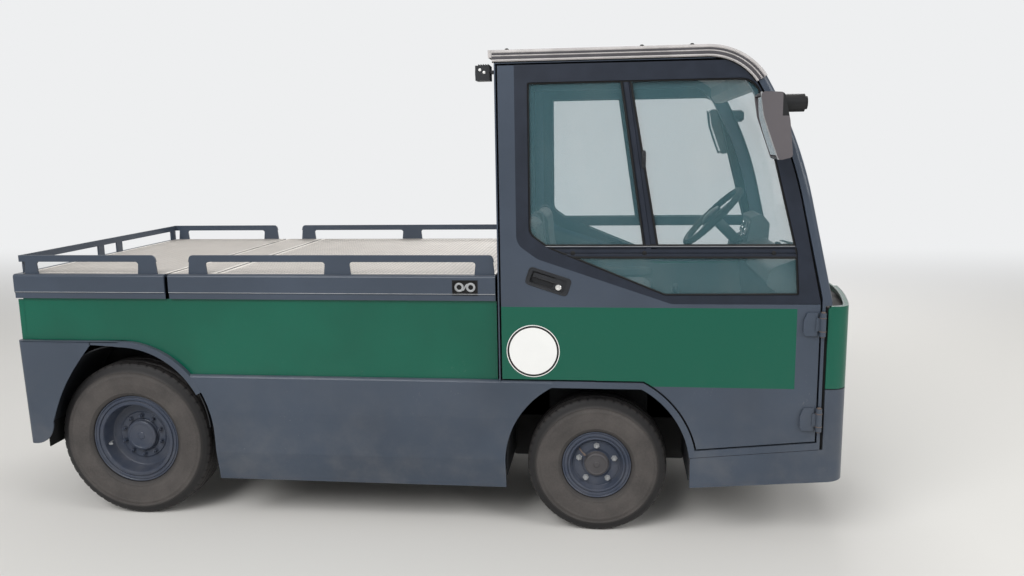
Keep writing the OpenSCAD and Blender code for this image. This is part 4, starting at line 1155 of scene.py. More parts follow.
@dataclass
class Rim:
    """One steel wheel: stepped flange, well, dished disc, ring of nuts, hub cap and valve stem.

    Attributes:
        size: Sizes of the axle's wheels.
        side: Side of the tug.
    """

    size: WheelSize
    side: Side

    @property
    def centre(self) -> np.ndarray:
        """Middle of the right-hand wheel."""
        return np.array([self.size.x, -self.size.y, self.size.radius])

    def ring(self, r: float, y: float, angle: float) -> np.ndarray:
        """Point of the right-hand wheel at a radius, a distance from its middle and an angle in degrees from
        +X."""
        t = math.radians(angle)
        return self.centre + np.array([r * math.cos(t), y, r * math.sin(t)])

    def section(self) -> np.ndarray:
        """Closed profile of the rim and disc, outside face first; each row gives radius, Y and corner radius.

        Returns:
            Points of radius and Y.
        """
        deep = self.size.well
        s, f, b, well = self.size.seat, self.size.flange, self.size.bead, self.size.seat - deep
        face = -b + self.size.dish - 0.010
        step = (f - s) * 0.5
        rows = [
            [self.size.bore, face, 0], [self.size.nut_ring - self.size.nut * 1.9, face, 0.002],
            [self.size.nut_ring - self.size.nut * 1.5, face - 0.003, 0.002],
            [self.size.nut_ring + self.size.nut * 1.5, face - 0.003, 0.002],
            [self.size.nut_ring + self.size.nut * 2.0, face + 0.001, 0.003], [well - 0.004, face, 0.006],
            [well + 0.004, -b + 0.004, 0.006], [s - deep + 0.006, -b - 0.004, 0.002],
            [s - deep + 0.009, -b - 0.0085, 0.0015], [s - 0.005, -b - 0.0085, 0.0015],
            [s - 0.004, -b - 0.003, 0.001], [s - 0.001, -b - 0.003, 0.001], [s + 0.001, -b - 0.0075, 0.0015],
            [s + step, -b - 0.0075, 0.0015], [s + step + 0.002, -b - 0.0035, 0.001],
            [f - 0.007, -b - 0.005, 0.001], [f - 0.004, -b - 0.008, 0.0015], [f, -b - 0.008, 0.0018],
            [f, -b - 0.002, 0.0015], [s - 0.0003, -b - 0.0004, 0.001], [s - 0.0003, -b + 0.014, 0.003],
            [s - 0.016, -b + 0.028, 0.004], [s - 0.016, b - 0.028, 0.004], [s - 0.0003, b - 0.014, 0.003],
            [s - 0.0003, b + 0.0004, 0.001], [f, b + 0.002, 0.0015], [f, b + 0.008, 0.0015],
            [s - 0.006, b + 0.006, 0.002], [s - 0.006, b - 0.012, 0.003], [well - 0.003, b - 0.026, 0.004],
            [well - 0.003, face + 0.016, 0.004], [well - 0.008, face + 0.010, 0.003],
            [self.size.bore, face + 0.010, 0],
        ]
        return rounded_outline(rows, 3)

    def bolts(self) -> list[Surface]:
        """Hexagonal nuts with a washer below and the round end of the stud above, one for each hole.

        Returns:
            The nuts and the studs.
        """
        face = -self.size.bead + self.size.dish - 0.013
        n = self.size.nut
        nut = np.array(
            [[n * 1.3, 0], [n * 1.3, 0.002], [n, 0.0022], [n, 0.011], [n * 0.8, 0.0135], [n * 0.5, 0.0138]]
        )
        stud = np.array([[n * 0.48, 0.012], [n * 0.48, 0.018], [n * 0.38, 0.0195], [n * 0.1, 0.0198]])
        out: list[Surface] = []
        for k in range(self.size.nuts):
            at = self.ring(self.size.nut_ring, face, k * 360 / self.size.nuts + 18)
            out += [lathe(nut, at, (0, -1, 0), 6, k * 0.7), lathe(stud, at, (0, -1, 0), 14)]
        return out

    def cap(self) -> Surface:
        """Hub cap: a low drum with a rounded edge, a shallow ring and a small boss in the middle.

        Returns:
            The hub cap.
        """
        face = -self.size.bead + self.size.dish - 0.010
        h = self.size.hub
        rows = [
            [h * 1.05, 0, 0], [h * 1.05, 0.003, 0.001], [h, 0.005, 0.001], [h, 0.020, 0.006],
            [h * 0.82, 0.0225, 0.002], [h * 0.78, 0.0205, 0.001], [h * 0.25, 0.0205, 0.001],
            [h * 0.2, 0.0235, 0.001], [0.001, 0.0238, 0],
        ]
        profile = rounded_outline(rows, 3)
        return lathe(profile, self.centre + [0, face, 0], (0, -1, 0), 64)

    def valve(self) -> Surface:
        """Valve stem: a thin rod from the well that bends outwards, with a thicker cap at its end.

        Returns:
            The valve stem.
        """
        t = np.linspace(0, 1, 14)
        radius = self.size.seat - 0.024 - 0.022 * t**1.6
        y = -self.size.bead + self.size.dish - 0.004 - (self.size.dish + 0.004) * np.sin(t * np.pi / 2)
        angle = math.radians(self.size.valve)
        path = self.centre + np.column_stack([radius * math.cos(angle), y, radius * math.sin(angle)])
        rod = sweep(ring_profile(0.006, 0.006, 10), path, (0.3, 0.1, 0.9))
        way = path[-1] - path[-2]
        end = lathe(
            np.array([[0.0042, 0], [0.0048, 0.001], [0.0048, 0.010], [0.003, 0.012], [0.0008, 0.0123]]),
            path[-1] - way * 0.2, way, 12,
        )
        return Surface.join([rod, end])

    def build(self) -> None:
        """Makes the wheel and its fittings; they stand for the plain node."""
        word, body = self.side.word, f"{self.size.axle.value}_wheel_{self.side.word}"
        name = f"{self.size.axle.value}_rim_{word}"
        cap, nuts, valve = self.size.finishes
        wheel = piece(
            f"{name}_stepped", revolve(self.section(), self.centre, 120).on(self.side), "rim", body, 40
        )
        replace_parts(wheel, name)
        piece(f"{name}_hub_cap", self.cap().on(self.side), cap, body, 35)
        piece(f"{name}_nuts", Surface.join(self.bolts()).on(self.side), nuts, body, 30)
        piece(f"{name}_valve", self.valve().on(self.side), valve, body, 40)


@dataclass
class Wheels:
    """The four wheels: tyres and rims.

    Attributes:
        sizes: Sizes of the wheels of both axles.
    """

    sizes: tuple[WheelSize, WheelSize] = (
        WheelSize(
            axle=Axle.FRONT, x=FRONT_X, y=0.5225, radius=0.270, width=0.155, blocks=50, seat=0.1143,
            flange=0.133,
            bead=0.0558, well=0.019, dish=0.026, bore=0.0285, hub=0.046, nuts=5, nut_ring=0.072, nut=0.0095,
            valve=138, finishes=("hub", "pale", "rust"),
        ),
        WheelSize(
            axle=Axle.REAR, x=REAR_X, y=0.508, radius=0.325, width=0.184, blocks=54, seat=0.1640,
            flange=0.1835,
            bead=0.06624, well=0.026, dish=0.062, bore=0.0365, hub=0.064, nuts=10, nut_ring=0.084, nut=0.0085,
            valve=192, finishes=("rim", "rim", "pale"),
        ),
    )

    def build(self) -> None:
        """Builds the wheels of both axles on both sides."""
        for side in Side:
            for part in (Tyre, Rim):
                for size in self.sizes:
                    part(size, side).build()


@dataclass
class Roof:
    """Turned-down edge of the roof shell with its bead lines and bands, and the small caps on its top.

    Attributes:
        brow: Centre of the brow arc as X and Z.
        brow_r: Radius of its outline.
        rear: X of the rear end.
        top: Height of the upper edge.
        caps: X from the cab, radius and height of each cap.
        cap_y: Distance of the caps from the centre line.
    """

    brow: tuple[float, float] = (CAB + BROW[0], BROW[1])
    brow_r: float = BROW_R
    rear: float = CAB - 0.006
    top: float = 1.835
    caps: tuple[tuple[float, float, float], ...] = (
        (0.042, 0.009, 0.010), (0.134, 0.006, 0.005), (0.292, 0.006, 0.005), (0.356, 0.006, 0.005),
        (0.525, 0.009, 0.010), (0.700, 0.009, 0.010),
    )
    cap_y: float = 0.600

    def edge_path(self, inset: float, y: float, to_angle: float) -> np.ndarray:
        """Line along the roof's edge: straight from the rear, then an arc of the brow circle down to an
        angle.

        Args:
            inset: Distance inside the roof's outline.
            y: Y of the line.
            to_angle: Angle in degrees at which it ends, 90 being the top.

        Returns:
            Points of the line.
        """
        r = self.brow_r - inset
        t = np.radians(np.linspace(90, to_angle, 28))
        arc = track(self.brow[0] + r * np.cos(t), y, self.brow[1] + r * np.sin(t))
        x = np.linspace(self.rear, arc[0, 0], 12)[:-1]
        flat = track(x, y, arc[0, 2])
        return np.concatenate([flat, arc])

    def build(self) -> None:
        """Builds the turned-down band with three beads and two dark bands on each side, a seam below, and the
        caps."""
        for side in Side:
            y = side.value * (HALF_W + 0.0032)
            apron = sweep(ring_profile(0.0048, 0.0400, 20, 10), self.edge_path(0.0206, y, 34.5), (0, 1, 0))
            y = side.value * (HALF_W + 0.0056)
            beads = [apron]
            for inset, width in ((0.0058, 0.0105), (0.0205, 0.0040), (0.0360, 0.0060)):
                beads.append(sweep(ring_profile(0.006, width, 10), self.edge_path(inset, y, 34.5), (0, 1, 0)))
            bands = []
            for inset, width in ((0.0146, 0.0066), (0.0278, 0.0096)):
                bands.append(
                    sweep(ring_profile(0.0024, width, 10, 6), self.edge_path(inset, y, 34.3), (0, 1, 0))
                )
            piece(f"roof_beads_{side.word}", beads, "roof", "tug", 60)
            piece(f"roof_bands_{side.word}", bands, "trim", "tug", 60)
            y = side.value * (HALF_W + 0.0005)
            seam = sweep(ring_profile(0.005, 0.0036, 8), self.edge_path(0.0424, y, 36), (0, 1, 0))
            piece(f"roof_seam_{side.word}", seam, "seal", "tug", 60)
        caps: list[Surface] = []
        for x, r, h in self.caps:
            for y in (-self.cap_y, self.cap_y):
                cone = np.array(
                    [
                        [1.28 * r, -0.0006], [1.28 * r, 0.32 * h], [1.06 * r, 0.46 * h], [0.5 * r, h],
                        [0.2 * r, h + 0.0003],
                    ]
                )
                caps.append(lathe(cone, (CAB + x, y, self.top), (0, 0, 1), 24))
        piece("roof_fixing_caps", caps, "seal", "tug", 40)


def window_outline(inset: float) -> np.ndarray:
    """Clear opening of a door's window frame, drawn in by an inset; X and Z in space.

    Args:
        inset: Distance that the outline moves inwards.

    Returns:
        Points of X and Z.
    """
    rows = [
        [0.118, 1.720, 0.008], [0.118, 1.176, 0.045], [0.190, 1.124, 0.050], [0.614, 0.950, 0.030],
        [1.090, 0.954, 0.008], [1.078, 1.110, 0.0], [0.921, 1.720, 0.075],
    ]
    outline = rounded_outline([[CAB + x, z, r] for x, z, r in rows], 8)
    return outline + inset * inward(outline)


def door_edge(shrink: float) -> np.ndarray:
    """Outline of the door opening drawn in by an amount, anticlockwise seen from the right.

    It runs down the rear edge, along the ledge, round the wheel arch, under the door, up the front edge, then
    along
    the leaning line, the screen arc and the brow arc to the flat top.

    Args:
        shrink: How far inside the opening.

    Returns:
        Rows of X and Z.
    """
    k = 0.034 + shrink
    brow, screen, lean, turn = np.array(BROW), np.array(SCREEN), LEAN, math.radians(30)
    r = 0.374 + shrink
    flat = 0.619 + shrink
    start = math.asin((flat - 0.288) / r)
    arch = np.linspace(start, math.asin((0.3605 + shrink - 0.288) / r), 20)
    arc1 = np.linspace(lean, turn, 24)
    arc2 = np.linspace(turn, math.acos(0.0), 16)
    front = 1.190 - 0.018 - shrink
    foot = screen + (SCREEN_R - k) * np.array([math.cos(lean), math.sin(lean)])
    knee = foot[1] - (front - foot[0]) / math.tan(lean)
    rows = [
        [[0.005 + shrink, 1.788 - shrink], [0.005 + shrink, 0.620 + shrink], [0.366, 0.620 + shrink]],
        np.column_stack([0.366 + r * np.cos(arch), 0.288 + r * np.sin(arch)]),
        [[front, 0.358 + shrink + 0.1 * (front - 0.716)], [front, knee]],
        np.column_stack(
            [screen[0] + (SCREEN_R - k) * np.cos(arc1), screen[1] + (SCREEN_R - k) * np.sin(arc1)]
        ),
        np.column_stack([brow[0] + (BROW_R - k) * np.cos(arc2), brow[1] + (BROW_R - k) * np.sin(arc2)]),
    ]
    outline = np.concatenate([np.array(q) for q in rows])
    outline[:, 1] = np.minimum(outline[:, 1], 1.788 - shrink)
    keep = np.linalg.norm(outline - np.roll(outline, 1, 0), axis=1) > 1e-5
    return outline[keep] + [CAB, 0]


def plate(outer: np.ndarray, hole: np.ndarray, y0: float, y1: float) -> Surface:
    """Flat plate with one hole: both faces are filled by triangles, and a wall runs round each of its two
    loops.

    Args:
        outer: Rows of X and Z, anticlockwise seen from the right-hand side.
        hole: Rows of X and Z, anticlockwise too.
        y0: Near face.
        y1: Far face.

    Returns:
        The closed surface.
    """
    loops = [outer, hole]
    flat = np.concatenate(loops)
    tris = np.array(tessellate_polygon([[Vector((x, z, 0.0)) for x, z in loop] for loop in loops]))
    n = len(flat)
    points = np.concatenate([track(flat[:, 0], y, flat[:, 1]) for y in (y0, y1)])
    walls, start = [], 0
    for loop in loops:
        k = np.arange(len(loop))
        nxt = (k + 1) % len(loop)
        walls.append(np.stack([k, nxt, nxt + n, k + n], -1) + start)
        start += len(loop)
    return Surface(points, [tris, tris[:, ::-1] + n, *walls])


@dataclass
class WindowFrame:
    """Black frame of a door's window with its crossbar and leaning mullion, and the three panes that it
    holds.

    Attributes:
        line: Lower and rear outline of the frame; X from the cab, Z and corner radius.
        gap: Gap between the door and its opening.
        mullion: Rear and front edge of the mullion at its top and at its foot, as X from the cab.
        mullion_z: Heights of those two places.
        bar: Lower and upper edge of the crossbar.
    """

    line: tuple[tuple[float, float, float], ...] = (
        (0.072, 1.782, 0.0), (0.072, 1.140, 0.060), (0.150, 1.084, 0.070), (0.640, 0.919, 0.050),
        (1.166, 0.9235, 0.0),
    )
    gap: float = 0.007
    mullion: tuple[tuple[float, float], tuple[float, float]] = ((0.4545, 0.4815), (0.541, 0.584))
    mullion_z: tuple[float, float] = (1.725, 1.130)
    bar: tuple[float, float] = (1.092, 1.132)

    def mullion_x(self, edge: int, z: np.ndarray | float) -> np.ndarray:
        """X of the mullion's rear (0) or front (1) edge at a height: a straight line between its two ends.

        Args:
            edge: 0 for the rear edge, 1 for the front one.
            z: Heights.

        Returns:
            X at each height.
        """
        top, low = self.mullion[0][edge], self.mullion[1][edge]
        share = (self.mullion_z[0] - np.asarray(z)) / (self.mullion_z[0] - self.mullion_z[1])
        return CAB + top + (low - top) * share

    def outline(self) -> np.ndarray:
        """Outer outline: the frame's own line below and behind, the door's edge in front and above.

        Returns:
            Points of X and Z.
        """
        rows = [[CAB + x, z, r] for x, z, r in self.line]
        edge = door_edge(self.gap)
        last = edge[(edge[:, 0] > CAB + 0.7) & (edge[:, 1] > 0.95)]
        return np.concatenate([rounded_outline(rows, 8), last])

    def crossbar(self) -> Surface:
        """Crossbar: one profile of a lip, a groove, a flat face and a rounded foot, carried along X.

        Returns:
            The crossbar.
        """
        z0, z1 = self.bar
        y = -HALF_W
        profile = np.array([
            [y + 0.030, z0], [y + 0.009, z0], [y + 0.0045, z0 + 0.002], [y + 0.0035, z0 + 0.006],
            [y + 0.0045, z0 + 0.010], [y + 0.0085, z0 + 0.012], [y + 0.0085, z0 + 0.0145],
            [y + 0.0050, z0 + 0.016], [y + 0.0050, z1 - 0.012], [y + 0.0090, z1 - 0.0105],
            [y + 0.0090, z1 - 0.008], [y + 0.0030, z1 - 0.006], [y + 0.0022, z1 - 0.003],
            [y + 0.0035, z1], [y + 0.030, z1],
        ])
        x = np.linspace(CAB + 0.140, CAB + 1.084, 6)
        return sweep(profile, np.column_stack([x, 0 * x, 0 * x]), (0, 1, 0))

    def upright(self) -> Surface:
        """Mullion: a leaning bar with a raised face between two narrow steps.

        Returns:
            The mullion.
        """
        z = np.array([self.mullion_z[0] + 0.004, self.mullion_z[1] - 0.012])
        rear, front = self.mullion_x(0, z), self.mullion_x(1, z)
        y = -HALF_W
        rings = []
        for a, b, h in zip(rear, front, z):
            rows = [
                [a, 0.030], [a, 0.010], [a + 0.004, 0.010], [a + 0.005, 0.0045], [a + 0.021, 0.0045],
                [a + 0.023, 0.009], [b - 0.001, 0.009], [b, 0.011], [b, 0.030],
            ]
            rings.append([[x, y + deep, h] for x, deep in rows])
        bar = np.array(rings)
        return grid(bar, closed_v=True).close_ends(bar.shape[1], len(bar))

    def panes(self) -> dict[str, Surface]:
        """The rear and front sliding pane, one behind the other, and the fixed pane below the crossbar.

        Returns:
            The panes by name.
        """
        z = np.array([1.724, 1.128])
        rear, front = self.mullion_x(1, z) - 0.004, self.mullion_x(0, z) + 0.004
        rows = {
            "rear_slider": ([
                [CAB + 0.114, z[0], 0.008], [CAB + 0.114, 1.176, 0.045], [CAB + 0.172, z[1], 0.0],
                [rear[1], z[1], 0.0], [rear[0], z[0], 0.0],
            ], 0.012),
            "front_slider": ([[front[0], z[0], 0.0], [front[1], z[1], 0.0], [CAB + 1.077, z[1], 0.0],
                              [CAB + 0.924, z[0], 0.075]], 0.018),
            "fixed_pane": ([
                [CAB + 0.262, 1.096, 0.0], [CAB + 0.614, 0.946, 0.030], [CAB + 1.094, 0.950, 0.008],
                [CAB + 1.083, 1.096, 0.0],
            ], 0.012),
        }
        return {
            key: prism(rounded_outline(corners, 8), -HALF_W + deep, -HALF_W + deep + 0.004)
            for key, (corners, deep) in rows.items()
        }

    def build(self, side: Side, body: str) -> None:
        """Builds the frame and its panes on one door; they stand for the two plain nodes.

        Args:
            side: Side of the tug.
            body: Body of the door.
        """
        ring = plate(self.outline(), window_outline(0.0), -HALF_W, -HALF_W + 0.036)
        parts = Surface.join([ring, self.crossbar(), self.upright()]).on(side)
        frame = piece(f"window_frame_{side.word}", parts, "dark", body, 30, bevel=0.0012)
        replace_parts(frame, f"door_window_frame_{side.word}")
        panes = [
            piece(f"{key}_{side.word}", pane.on(side), "pane", body, 30) for key, pane in self.panes().items()
        ]
        for pane in panes:
            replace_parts(pane, f"door_glass_{side.word}")


@dataclass
class Doors:
    """What the doors carry: window frames, gaskets, locks, the speed disc, hinge rings, mirror glass and
    trim.

    Attributes:
        disc: X, Z and radius of the speed disc.
        handle: X and Z of the handle.
        tilt: Slope of the handle in degrees.
        hinge_x: X of the hinge line.
        hinge_y: Distance of the hinge line from the centre line.
        hinges: Lower and upper end of each hinge.
        stalk: X and Z of the mirror stalk.
        window: Frame of the window.
    """

    disc: tuple[float, float, float] = (CAB + 0.130, 0.7365, 0.100)
    handle: tuple[float, float] = (CAB + 0.189, 1.001)
    tilt: float = 18.0
    hinge_x: float = CAB + 1.173
    hinge_y: float = 0.662
    hinges: tuple[tuple[float, float], ...] = ((0.452, 0.538), (0.807, 0.893))
    stalk: tuple[float, float] = (CAB + 0.951, 1.627)
    window: WindowFrame = field(default_factory=WindowFrame)

    def speed_disc(self) -> None:
        """Builds the blank white disc with its black ring on the right-hand door: thin turned plates."""
        x, z, r = self.disc
        y = -HALF_W
        film = prism(circle_outline(x, z, r, 96), y - 0.0009, y - 0.0001)
        piece("speed_disc", film, "white", "door_right")
        outer, inner = circle_outline(x, z, r * 0.97, 96), circle_outline(x, z, r * 0.9, 96)
        ring = np.stack([
            track(p[:, 0], yy, p[:, 1])
            for p, yy in ((outer, y - 0.0008), (outer, y - 0.0013), (inner, y - 0.0013), (inner, y - 0.0008))
        ], 1)
        piece("speed_disc_ring", grid(ring, closed_u=True, closed_v=True), "ink", "door_right")

    def gaskets(self, side: Side, body: str) -> None:
        """Black rubber round the panes: a bead along the opening, along the bar and on both sides of the
        mullion.

        Args:
            side: Side of the tug.
            body: Body that carries the pieces.
        """
        y = -HALF_W + 0.0085
        bead = ring_profile(0.010, 0.008, 10, 3)
        parts = [sweep(bead, loop_at(window_outline(0.0025), y), (0, 1, 0), closed=True)]
        for z, x0, x1 in (
            (self.window.bar[0] - 0.002, 0.272, 1.076), (self.window.bar[1] + 0.002, 0.180, 1.069)
        ):
            x = np.linspace(CAB + x0, CAB + x1, 8)
            parts.append(sweep(bead, track(x, y, z), (0, 1, 0)))
        for edge, shift in ((0, -0.003), (1, 0.003)):
            z = np.linspace(1.716, 1.136, 6)
            parts.append(sweep(bead, track(self.window.mullion_x(edge, z) + shift, y, z), (0, 1, 0)))
        piece(f"window_gaskets_{side.word}", Surface.join(parts).on(side), "seal", body, 50)
        # pale line along the top of the crossbar, its bolts and the catch of the sliding pane
        z = self.window.bar[1] - 0.001
        x = np.linspace(CAB + 0.176, CAB + 1.068, 8)
        line = sweep(ring_profile(0.003, 0.0024, 8), track(x, -HALF_W + 0.0034, z), (0, 1, 0))
        piece(f"crossbar_line_{side.word}", line.on(side), "pale", body, 60)
        head = np.array([[0.0085, -0.001], [0.0085, 0.0012], [0.006, 0.0034], [0.001, 0.0042]])
        bolts = [
            lathe(head, (CAB + q, -HALF_W + 0.0055, self.window.bar[0] + 0.0135), (0, -1, 0), 20)
            for q in (0.280, 0.540, 0.997)
        ]
        piece(f"crossbar_bolts_{side.word}", Surface.join(bolts).on(side), "seal", body, 35)
        catch = pillow((CAB + 0.526, -HALF_W + 0.002, 1.410), (CAB + 0.542, -HALF_W + 0.017, 1.475), 5, 12)
        tab = pillow((CAB + 0.531, -HALF_W - 0.003, 1.430), (CAB + 0.541, -HALF_W + 0.006, 1.455), 4, 10)
        piece(f"pane_catch_{side.word}", Surface.join([catch, tab]).on(side), "plastic", body, 50)

    def seals(self, side: Side) -> None:
        """Hollow rubber seal in the gap round the door, a tube along the door's outline.

        Args:
            side: Side of the tug.
        """
        path = loop_at(spread(door_edge(0.0030), 0.05), -HALF_W + 0.024)
        tube = sweep(ring_profile(0.016, 0.0066, 10, 3), path, (0, 1, 0), closed=True)
        piece(f"door_seal_{side.word}", tube.on(side), "seal", "tug", 60)
        strip = block((CAB + 1.1850, -HALF_W + 0.010, 0.362), (CAB + 1.2010, -HALF_W + 0.060, 0.905), 0.002)
        piece(f"front_gap_seal_{side.word}", strip.on(side), "seal", "tug", 30)

    def hinge_parts(self, side: Side) -> None:
        """Pin heads and rings round the knuckles of the hinges.

        Args:
            side: Side of the tug.
        """
        x, y = self.hinge_x, -self.hinge_y
        rings = []
        for z0, z1 in self.hinges:
            for z in (z0 + 0.0185, z1 - 0.0185):
                collar = np.array([[0.0112, -0.0016], [0.0126, -0.0012], [0.0126, 0.0012], [0.0112, 0.0016]])
                rings.append(lathe(collar, (x, y, z), (0, 0, 1), 28))
            for z, way in ((z1, 1), (z0, -1)):
                head = np.array([[0.0086, 0.0], [0.0086, 0.0022], [0.006, 0.0042], [0.001, 0.005]])
                rings.append(lathe(head, (x, y, z), (0, 0, way), 20))
        piece(f"hinge_pins_{side.word}", Surface.join(rings).on(side), "rust", "tug", 30)

    def lock(self, side: Side, body: str) -> None:
        """Round lock barrel beside the flap of the handle, turned with it, and the edge of the flap.

        Args:
            side: Side of the tug.
            body: Body that carries the pieces.
        """
        a = math.radians(self.tilt)
        x0, z0 = self.handle

        def at(u: float, v: float, y: float) -> np.ndarray:
            """Point of the tilted handle at u along it, v up and y out of the door."""
            return np.array(
                [x0 + u * math.cos(a) + v * math.sin(a), y, z0 - u * math.sin(a) + v * math.cos(a)]
            )

        barrel = np.array(
            [
                [0.0115, 0], [0.0115, 0.002], [0.0102, 0.0032], [0.0045, 0.0032], [0.004, 0.0022],
                [0.0005, 0.0022],
            ]
        )
        piece(
            f"door_lock_{side.word}",
            lathe(barrel, at(0.042, -0.010, -HALF_W + 0.0005), (0, -1, 0), 28).on(side), "chrome", body,
        )
        t = np.linspace(-0.058, 0.052, 10)
        lip = np.array([at(u, 0.0015, -HALF_W + 0.0012) for u in t])
        edge = sweep(ring_profile(0.005, 0.004, 8), lip, (0, 1, 0))
        bezel = rounded_outline(
            [[-0.080, -0.032, 0.013], [0.080, -0.032, 0.013], [0.080, 0.032, 0.013], [-0.080, 0.032, 0.013]],
            6,
        )
        rim = np.stack(
            [
                x0 + bezel[:, 0] * math.cos(a) + bezel[:, 1] * math.sin(a),
                z0 - bezel[:, 0] * math.sin(a) + bezel[:, 1] * math.cos(a),
            ], 1,
        )
        frame = sweep(ring_profile(0.003, 0.004, 8), loop_at(rim, -HALF_W - 0.0018), (0, 1, 0), closed=True)
        piece(f"handle_edges_{side.word}", Surface.join([edge, frame]).on(side), "plastic", body, 50)

    def mirror(self, side: Side, body: str) -> None:
        """Mirror glass: a slab bent along the housing's back, and a pale bead along its rear edge.

        Args:
            side: Side of the tug.
            body: Body that carries the pieces.
        """
        x, z = self.stalk
        y0, y1 = -HALF_W - 0.048 - 0.150, -HALF_W - 0.048 - 0.004
        t = np.linspace(0, 1, 16)
        q = -0.172 + 0.190 * t
        # the recess is bounded by three points; the glass lies 4 mm behind them with a bulge of 3 mm
        back = np.interp(
            q, [-0.178, -0.042, 0.022], [0.016, -0.028, -0.038]
        ) - 0.004 - 0.003 * np.sin(np.pi * t)
        outline = np.concatenate(
            [np.column_stack([back, q]), np.column_stack([back + 0.003, q])[::-1]]
        ) + [x, z]
        piece(
            f"mirror_glass_{side.word}", prism(outline, y0 + 0.008, y1 - 0.008).on(side), "mirror", body, 40
        )
        rows = np.array([[-0.047, 0.033], [-0.036, -0.045], [-0.012, -0.118], [0.014, -0.186]])
        u = np.linspace(0, 3, 24)
        edge = track(
            x + np.interp(u, range(4), rows[:, 0]), y0 + 0.003, z + np.interp(u, range(4), rows[:, 1])
        )
        bead = sweep(ring_profile(0.005, 0.007, 10), edge, (0, 1, 0))
        piece(f"mirror_bead_{side.word}", bead.on(side), "pale", body, 50)

    def inner_trim(self, side: Side, body: str) -> None:
        """Moulded panel on the inside of the door with an armrest and a pull.

        Args:
            side: Side of the tug.
            body: Body that carries the pieces.
        """
        y = -HALF_W + 0.0372
        outline = rounded_outline([
            [CAB + 0.060, 0.668, 0.03], [CAB + 0.700, 0.668, 0.05], [CAB + 0.800, 0.470, 0.06],
            [CAB + 1.130, 0.470, 0.03], [CAB + 1.130, 0.900, 0.03], [CAB + 0.640, 0.895, 0.05],
            [CAB + 0.150, 1.060, 0.05], [CAB + 0.060, 1.070, 0.03],
        ], 6)
        panel = prism(outline, y, y + 0.004)
        rest = pillow((CAB + 0.300, y + 0.003, 0.835), (CAB + 0.620, y + 0.032, 0.880), 5, 16)
        piece(f"door_trim_{side.word}", Surface.join([panel, rest]).on(side), "grey", body, 40)

    def build(self) -> None:
        """Builds the pieces of both doors."""
        self.speed_disc()
        for side in Side:
            body = f"door_{side.word}"
            self.window.build(side, body)
            self.gaskets(side, body)
            self.seals(side)
            self.hinge_parts(side)
            self.lock(side, body)
            self.mirror(side, body)
            self.inner_trim(side, body)


